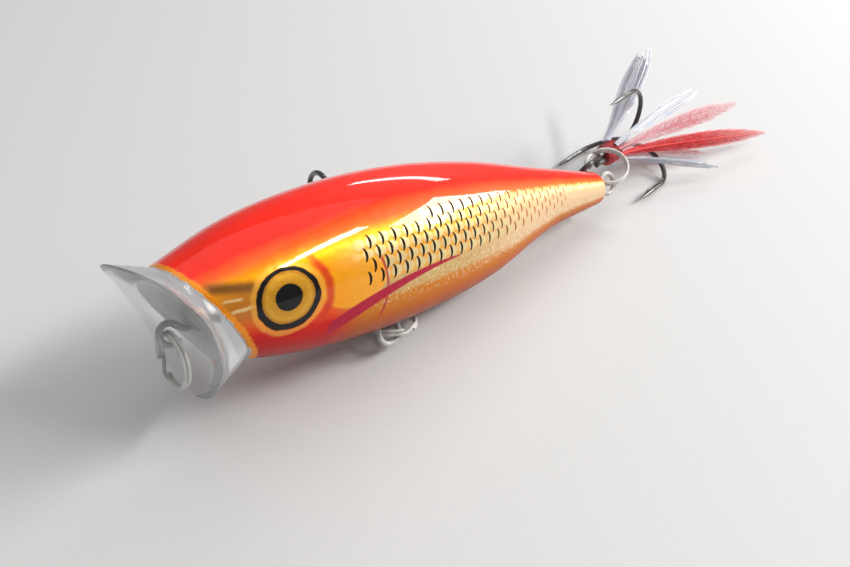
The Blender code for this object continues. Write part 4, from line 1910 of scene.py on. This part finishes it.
@dataclass
class TrebleHook:
    """A treble hook: a double bent from one wire and a single brazed to it.

    Its frame has the shank along Z from the eye's middle. Rise is how far a point comes
    back along the shank, and a barb's rows are a share of its length, a half-width and
    a height, in millimetres.
    """

    name: str
    shank: float
    bend: float
    rise: float
    eye: float
    heading_deg: float
    slope_deg: float
    roll_deg: float
    upright_deg: float
    seat: float = 0.0
    wire: float = 0.36 * MM
    spread: float = 0.5 * MM
    eye_open_deg: float = 32.0
    neck: float = 1.4 * MM
    single_lead: float = 0.4 * MM
    point_radius: float = 0.05 * MM
    point_taper: float = 2.6 * MM
    barb_back: float = 2.3 * MM
    barb_length: float = 1.15 * MM
    barb_root: float = 0.4
    barb_rows: tuple = ((0.0, 0.12, 0.10), (0.3, 0.14, 0.28), (0.7, 0.10, 0.46), (1.0, 0.03, 0.58))
    barb_flatness: float = 0.6
    braze_ends: Pair = (0.5 * MM, 0.3 * MM)
    braze_radius: float = 0.52 * MM
    braze_lobe: float = 0.10 * MM
    place: Matrix = field(init=False)

    def __post_init__(self) -> None:
        """Lays the hook's frame on its joint: X level, Y up and Z along the shank."""
        axis = heading_vector(self.heading_deg, self.slope_deg)
        roll = Matrix.Rotation(math.radians(self.roll_deg), 4, axis)
        eye = joint_place(f"{self.name}_swing") + Vector((0, 0, self.seat))
        self.place = frame_matrix(eye, roll @ UP.cross(axis), axis)

    def leg(self, azimuth_deg: float, start: float) -> tuple[list[Vector], list[float]]:
        """Path and wire radii of one hook from the shank's start to the point.

        Args:
            azimuth_deg: Direction of the hook round the shank.
            start: Where the shank starts, along it.

        Returns:
            The path and its radii.
        """
        out = circle_point(1.0, math.radians(azimuth_deg))
        run = [(self.spread, start + (self.shank - start) * k / 8) for k in range(9)]
        for step in range(1, 33):
            turn = math.pi * step / 32
            reach = self.spread + self.bend * (1 - math.cos(turn))
            run.append((reach, self.shank + self.bend * math.sin(turn)))
        outer = self.spread + 2 * self.bend
        taper_from = self.shank - self.rise + self.point_taper
        run += [(outer, self.shank + (taper_from - self.shank) * step / 4) for step in range(1, 5)]
        radii = [self.wire] * len(run)
        for step in range(1, 13):
            share = step / 12
            run.append((outer, taper_from - self.point_taper * share))
            radii.append(self.wire + (self.point_radius - self.wire) * share**1.3)
        return [out * reach + UP * height for reach, height in run], radii

    def barb(self, azimuth_deg: float) -> list[list[Vector]]:
        """Rings of the small raised barb on the inner side of a point.

        Args:
            azimuth_deg: Direction of the hook round the shank.

        Returns:
            The rings, from root to tip.
        """
        out = circle_point(1.0, math.radians(azimuth_deg))
        across = UP.cross(out)
        outer = self.spread + 2 * self.bend
        root_z = self.shank - self.rise + self.barb_back
        rings = []
        for share, width, stand in self.barb_rows:
            height = root_z - self.barb_length * (self.barb_root - share)
            centre = out * (outer - stand * MM) + UP * height
            wide, deep = across * (width * MM), out * (self.barb_flatness * width * MM)
            rings.append([
                centre + wide * math.cos(turn) + deep * math.sin(turn) for turn in full_turn(10)
            ])
        return rings

    def braze(self) -> list[list[Vector]]:
        """Rings of the solder fillet that fills the gaps between the three shanks.

        Returns:
            The rings, from eye to bend.
        """
        start = self.eye + self.neck - self.braze_ends[0]
        end = self.shank - self.braze_ends[1]
        first = math.radians(90.0 - self.upright_deg)
        rings = []
        for step in range(17):
            share = step / 16
            fullness = 0.55 + 0.45 * min(1.0, 5 * share + 0.15, 5 * (1 - share) + 0.15)
            ring = []
            for turn in full_turn(36):
                lobe = self.braze_radius + self.braze_lobe * math.cos(3 * (turn - first))
                ring.append(circle_point(lobe * fullness, turn, start + (end - start) * share))
            rings.append(ring)
        return rings

    def eye_loop(self, first_deg: float) -> list[Vector]:
        """Points round the open eye, which stands across the first hook.

        Args:
            first_deg: Direction of the first hook.

        Returns:
            The points.
        """
        across = circle_point(self.eye, math.radians(first_deg + 90.0))
        points = []
        for step in range(41):
            turn = math.radians(self.eye_open_deg + (360 - 2 * self.eye_open_deg) * step / 40)
            points.append(across * math.sin(turn) + UP * (self.eye * math.cos(turn)))
        return points

    def build(self, trees: GrowTrees, finish: Material) -> None:
        """Builds the double with its eye, the single, the barbs and the braze.

        Args:
            trees: Shared geometry trees.
            finish: Material of the piece.
        """
        start = 90.0 - self.upright_deg
        neck = self.eye + self.neck
        eye = self.eye_loop(start)
        first, first_radii = self.leg(start + 120, neck)
        second, second_radii = self.leg(start + 240, neck)
        single, single_radii = self.leg(start, neck - self.single_lead)
        double = first[::-1] + eye + second
        radii = first_radii[::-1] + [self.wire] * len(eye) + second_radii
        inputs = {"Sides": 16, "Material": finish}
        for kind, path, wire_radii, azimuths in (
            ("double", double, radii, (start + 120, start + 240)),
            ("single", single, single_radii, (start,)),
        ):
            name = f"{self.name}_{kind}"
            points = [self.place @ point for point in path]
            piece = grow(f"{name}_forged", points, trees.wire, inputs, wire_radii)
            extras = [loft(f"{name}_barb", self.barb(a), self.place, finish) for a in azimuths]
            if kind == "double":
                extras.append(loft(f"{name}_braze", self.braze(), self.place, finish))
            join(piece, extras)
            hang(piece, self.name, "hook_wire", name)


def join(piece: Object, extras: Sequence[Object]) -> None:
    """Adds the meshes of other objects to a piece and removes those objects.

    Args:
        piece: Object that takes the meshes.
        extras: Objects to add and remove.
    """
    shell = bmesh.new()
    shell.from_mesh(piece.data)
    for extra in extras:
        shell.from_mesh(extra.data)
        bpy.data.objects.remove(extra, do_unlink=True)
    shell.to_mesh(piece.data)
    shell.free()
    piece.data.shade_smooth()
    piece.data.set_sharp_from_angle(angle=math.radians(50))


class Fibre(Enum):
    """What a blade of the dressing is made of."""

    HACKLE = "hackle"
    TINSEL = "tinsel"


@dataclass(frozen=True)
class Blade:
    """One feather or tinsel bunch of the dressing, in millimetres in the hook's frame."""

    node: str
    fibre: Fibre
    slot: str
    start_deg: float
    lift: float
    reach: float
    tip: tuple[float, float, float]
    width: float
    count: int
    seed: int
    fluff: float = 0.25


@dataclass
class Dressing:
    """Thread wrapping, hackle feathers and pearl tinsel tied on the tail hook.

    The core's profile has shares of the wrapping's radius and length. A layer has a
    pitch, in turns of the first layer, and a direction.
    """

    hook: TrebleHook
    wrap_start: float = 4.8 * MM
    wrap_end: float = 8.2 * MM
    wrap_outer: float = 1.55 * MM
    core_profile: Knots = (
        (0.35, 0.0), (0.80, 0.0), (1.0, 0.22), (1.0, 0.75), (0.80, 1.0), (0.35, 1.0),
    )
    core_sink: float = 0.06 * MM
    thread: float = 0.085 * MM
    thread_pitch: float = 1.8
    layers: tuple[Pair, ...] = ((1.0, 1), (2.6, -1))
    layer_sinks: Pair = (0.08 * MM, 0.03 * MM)
    layer_margin: float = 0.05 * MM
    unevenness: float = 0.08 * MM
    tie_in: float = 1.6 * MM
    tie_height: float = 0.25 * MM
    path_steps: int = 40
    blades: tuple[Blade, ...] = (
        Blade("tinsel_upper", Fibre.TINSEL, "tinsel", 30, 3.2, 11.1, (5.1, 9.6, 23.8), 4.2, 46, 3),
        Blade(
            "tinsel_middle", Fibre.TINSEL, "tinsel", -28, 3.6, 11.1, (-4.0, 5.2, 25.0), 2.0, 18, 7
        ),
        Blade(
            "pink_feather_upper",
            Fibre.HACKLE,
            "pink_hackle",
            -53,
            3.6,
            12.0,
            (-9.2, 3.4, 28.5),
            2.2,
            420,
            11,
            0.6,
        ),
        Blade(
            "red_feather",
            Fibre.HACKLE,
            "red_hackle",
            -80,
            2.8,
            11.1,
            (-13.6, -1.2, 31.5),
            2.2,
            760,
            13,
            0.22,
        ),
        Blade(
            "pink_feather_lower",
            Fibre.HACKLE,
            "pink_hackle",
            180,
            2.6,
            18.0,
            (-8.6, -2.8, 21.5),
            2.2,
            380,
            17,
            0.6,
        ),
        Blade(
            "tinsel_lower",
            Fibre.TINSEL,
            "tinsel",
            -102,
            4.0,
            10.0,
            (-12.4, -2.4, 18.0),
            1.5,
            16,
            19,
        ),
    )

    def wrap(self, trees: GrowTrees, finish: Material) -> None:
        """The wound thread: a tapered core with two layers of turns on it.

        Args:
            trees: Shared geometry trees.
            finish: Material of the piece.
        """
        length = self.wrap_end - self.wrap_start
        rings = []
        for share, along in self.core_profile:
            radius = self.wrap_outer * share - self.core_sink
            z = self.wrap_start + length * along
            rings.append([circle_point(radius, turn, z) for turn in full_turn(32)])
        core = loft("thread_core", rings, self.hook.place, finish)
        inputs = {"Thread Radius": self.thread, "Unevenness": self.unevenness, "Material": finish}
        turns = int(length / (self.thread_pitch * self.thread))
        extras = []
        for layer, ((pitch, direction), sink) in enumerate(zip(self.layers, self.layer_sinks)):
            path = []
            steps = int(turns / pitch) * 24
            for step in range(steps + 1):
                share = step / steps
                turn = direction * 2 * math.pi * turns / pitch * share + layer
                end_taper = min(1.0, 0.72 + 2.2 * share, 0.72 + 2.2 * (1 - share))
                z = self.wrap_start + self.layer_margin + (length - 2 * self.layer_margin) * share
                path.append(
                    self.hook.place @ circle_point(self.wrap_outer * end_taper - sink, turn, z)
                )
            extras.append(grow(f"thread_layer_{layer}", path, trees.winding, inputs))
        join(core, extras)
        core.name = "thread_wrapping"
        hang(core, self.hook.name, "thread", "thread_wrap")

    def blade_path(self, blade: Blade) -> tuple[list[Vector], Vector, Vector]:
        """Centre line of a blade with its across and flat directions, in the world.

        Args:
            blade: The feather or tinsel bunch.

        Returns:
            The path, the direction across and the flat direction.
        """
        turn = math.radians(blade.start_deg)
        out = Vector((math.sin(turn), math.cos(turn), 0))
        start = out * (self.wrap_outer + self.tie_height) + UP * (self.wrap_end - self.tie_in)
        gate = out * (blade.lift * MM) + Vector((0, 0, blade.reach * MM))
        tip = Vector(blade.tip) * MM
        points = []
        for step in range(self.path_steps + 1):
            t = step / self.path_steps
            points.append(start * (1 - t) ** 2 + gate * 2 * t * (1 - t) + tip * t * t)
        middle = len(points) // 2
        along = (points[middle + 1] - points[middle - 1]).normalized()
        across = along.cross(out).normalized()
        flat = across.cross(along).normalized()
        turn_to_world = self.hook.place.to_3x3()
        return [self.hook.place @ p for p in points], turn_to_world @ across, turn_to_world @ flat

    def build(self, effects: Effects, trees: GrowTrees) -> None:
        """Builds the wrapping and every blade.

        Args:
            effects: Shared shader groups.
            trees: Shared geometry trees.
        """
        place = self.hook.place
        thread = FibreFinish(
            "bound_thread",
            roughness=0.55,
            bump=0.2,
            dark=(0.22, 0.006, 0.01),
            light=(0.62, 0.03, 0.04),
            sheen=0.3,
        ).build(effects, place)
        self.wrap(trees, thread)
        finishes = {
            "red_hackle": FibreFinish(
                "red_hackle", roughness=0.55, bump=0.1, alpha=0.92, sheen=0.4,
                dark=(0.75, 0.01, 0.015), light=(0.95, 0.07, 0.07),
                tips=(0.95, 0.25, 0.25), tip_start=18.0, tip_end=30.0,
            ).build(effects, place),
            "pink_hackle": FibreFinish(
                "pink_hackle", roughness=0.6, bump=0.1, alpha=0.62, sheen=0.4,
                dark=(0.90, 0.30, 0.36), light=(1.0, 0.62, 0.64),
            ).build(effects, place),
            "tinsel": FibreFinish(
                "pearl_tinsel", roughness=0.16, coat=0.8, bump=0.1, dark=(0.80, 0.82, 0.92),
                light=(0.98, 0.97, 1.0), alpha=0.72, flake_scale=1.4,
            ).build(effects, place),
        }
        for blade in self.blades:
            points, across, flat = self.blade_path(blade)
            finish = finishes[blade.slot]
            name = blade.node + "_tied"
            if blade.fibre is Fibre.TINSEL:
                piece = grow(name, points, trees.strands, {
                    "Strands": blade.count,
                    "Spread": 0.5 * blade.width * MM,
                    "Depth": 0.22,
                    "Strand Width": 0.26 * MM,
                    "Shortest": 0.78,
                    "Across": across,
                    "Flat": flat,
                    "Seed": blade.seed,
                    "Material": finish,
                })
            else:
                piece = grow(name, points, trees.barbs, {
                    "Barbs": blade.count,
                    "Barb Length": 1.1 * blade.width * MM,
                    "Barb Radius": 0.042 * MM,
                    "Fluff": blade.fluff,
                    "Across": across,
                    "Seed": blade.seed,
                    "Material": finish,
                })
            hang(piece, self.hook.name, blade.slot, blade.node)


# ---------------------------------------------------------------------- studio


@dataclass(frozen=True)
class SoftLight:
    """A rectangular soft light aimed at a spot, sizes in metres."""

    name: str
    place: tuple[float, float, float]
    aim: tuple[float, float, float]
    width: float
    height: float
    power: float
    colour: Colour = (1.0, 1.0, 1.0)


@dataclass
class Studio:
    """Pale floor, soft lights and the camera."""

    camera_place: Vector = field(default_factory=lambda: Vector((-76.8, -82.7, 80.0)) * MM)
    camera_right: Vector = field(default_factory=lambda: Vector((0.774, -0.633, 0.0)))
    camera_up: Vector = field(default_factory=lambda: Vector((0.390, 0.477, 0.788)))
    lens: float = 42.47
    sensor: float = 36.0
    floor_size: float = 3.0
    lights: tuple[SoftLight, ...] = (
        SoftLight("overhead", (0.10, 0.10, 1.0), (0.0, 0.0, 0.01), 1.2, 1.2, 3.9),
        SoftLight(
            "window_strip",
            (0.235, -0.28, 0.345),
            (-0.02, 0.0, 0.01),
            0.20,
            0.035,
            0.95,
            (1.0, 0.98, 0.94),
        ),
        SoftLight(
            "window_right",
            (0.41, -0.18, 0.23),
            (0.0, 0.0, 0.01),
            0.20,
            0.13,
            2.10,
            (1.0, 0.98, 0.94),
        ),
        SoftLight("back_strip", (0.375, 0.22, 0.26), (0.0, 0.0, 0.01), 0.26, 0.03, 0.42),
    )

    def build(self) -> None:
        """Builds the floor, the lights, the world and the camera."""
        self.lay_floor()
        for light in self.lights:
            self.hang_light(light)
        world = bpy.data.worlds.new("pale_room")
        world.use_nodes = True
        world.node_tree.nodes["Background"].inputs["Color"].default_value = (0.92, 0.94, 1.0, 1.0)
        world.node_tree.nodes["Background"].inputs["Strength"].default_value = 0.25
        bpy.context.scene.world = world
        bpy.context.scene.view_settings.view_transform = "Standard"
        camera = bpy.data.cameras.new("studio_camera")
        camera.lens = self.lens
        camera.sensor_width = self.sensor
        camera.clip_start = 0.005
        holder = bpy.data.objects.new("studio_camera", camera)
        bpy.context.scene.collection.objects.link(holder)
        right = self.camera_right.normalized()
        back = right.cross(self.camera_up).normalized()
        up = back.cross(right)
        turn = Matrix((right, up, back)).transposed().to_4x4()
        holder.matrix_world = Matrix.Translation(self.camera_place) @ turn
        bpy.context.scene.camera = holder

    def lay_floor(self) -> None:
        """Lays the paper under the lowest point of the model."""
        half = self.floor_size / 2
        level = min(corner[2] for corner in CAD_BOUNDS)
        mesh = bpy.data.meshes.new("paper_floor")
        corners = [
            (-half, -half, level), (half, -half, level), (half, half, level), (-half, half, level)
        ]
        mesh.from_pydata(corners, [], [(0, 1, 2, 3)])
        mesh.materials.append(FloorFinish("pale_paper", roughness=0.7, bump=0.02).build())
        add_object("paper_floor", mesh)

    @staticmethod
    def hang_light(light: SoftLight) -> None:
        """Hangs one soft light.

        Args:
            light: The light to hang.
        """
        data = bpy.data.lights.new(light.name, "AREA")
        data.shape = "RECTANGLE"
        data.size, data.size_y = light.width, light.height
        data.energy = light.power
        data.color = light.colour
        holder = bpy.data.objects.new(light.name, data)
        bpy.context.scene.collection.objects.link(holder)
        holder.location = light.place
        aim = Vector(light.aim) - Vector(light.place)
        holder.rotation_euler = aim.to_track_quat("-Z", "Y").to_euler()


def dress_ballast(effects: Effects, place: Matrix) -> None:
    """Gives the hidden ballast slug, whose CAD shape stays, a cast lead finish.

    Args:
        effects: Shared shader groups.
        place: The piece's frame in the world.
    """
    lead = MetalFinish(
        "cast_lead",
        roughness=0.5,
        bump=0.4,
        colour=(0.30, 0.31, 0.33),
        tarnish=(0.16, 0.16, 0.17),
        marks=0.25,
    )
    slug = frame["nodes"]["ballast_slug"]
    for material_slot in slug.material_slots:
        material_slot.material = lead.build(effects, place)
    LOG.info("ballast_slug: CAD shape kept, new finish")


def main() -> None:
    """Builds the plug's looks piece by piece, then the studio."""
    logging.basicConfig(level=logging.INFO, format="%(name)s %(message)s")
    effects = Effects()
    trees = GrowTrees()
    shape = PlugShape()
    PaintedBody(shape).build(effects, trees)
    ClearLip(shape).build(effects)
    ThroughWire(shape).build(effects, trees)
    dress_ballast(effects, shape.place)
    steel = MetalFinish(
        "split_ring_steel",
        roughness=0.09,
        bump=0.12,
        colour=(0.66, 0.65, 0.62),
        tarnish=(0.36, 0.35, 0.32),
    ).build(effects, shape.place)
    turn = shape.place.to_3x3()
    rings = (
        SplitRing(
            "line_tie",
            heading=turn @ Vector((0.02, 0.25, -0.97)),
            normal=turn @ Vector((1.0, 0.0, 0.0)),
            gap_deg=75.0,
        ),
        SplitRing("belly", heading=heading_vector(46.0, -15.0), normal=UP, gap_deg=-110.0),
        SplitRing("tail", heading=heading_vector(46.0, 22.0), normal=UP, gap_deg=70.0),
    )
    for ring in rings:
        ring.build(trees, steel)
    nickel = MetalFinish(
        "black_nickel",
        roughness=0.13,
        coat=0.6,
        bump=0.12,
        colour=(0.055, 0.050, 0.048),
        tarnish=(0.03, 0.027, 0.025),
        marks=0.08,
    ).build(effects, shape.place)
    belly_hook = TrebleHook(
        "belly_hook",
        shank=16.9 * MM,
        bend=3.35 * MM,
        rise=5.5 * MM,
        eye=1.08 * MM,
        heading_deg=83.0,
        slope_deg=15.2,
        roll_deg=4.0,
        upright_deg=120.0,
        seat=0.05 * MM,
    )
    tail_hook = TrebleHook(
        "tail_hook",
        shank=10.5 * MM,
        bend=3.85 * MM,
        rise=6.1 * MM,
        eye=1.2 * MM,
        heading_deg=12.0,
        slope_deg=-3.8,
        roll_deg=0.0,
        upright_deg=240.0,
    )
    for hook in (belly_hook, tail_hook):
        hook.build(trees, nickel)
    Dressing(tail_hook).build(effects, trees)
    Studio().build()


if __name__ == "__main__":
    main()
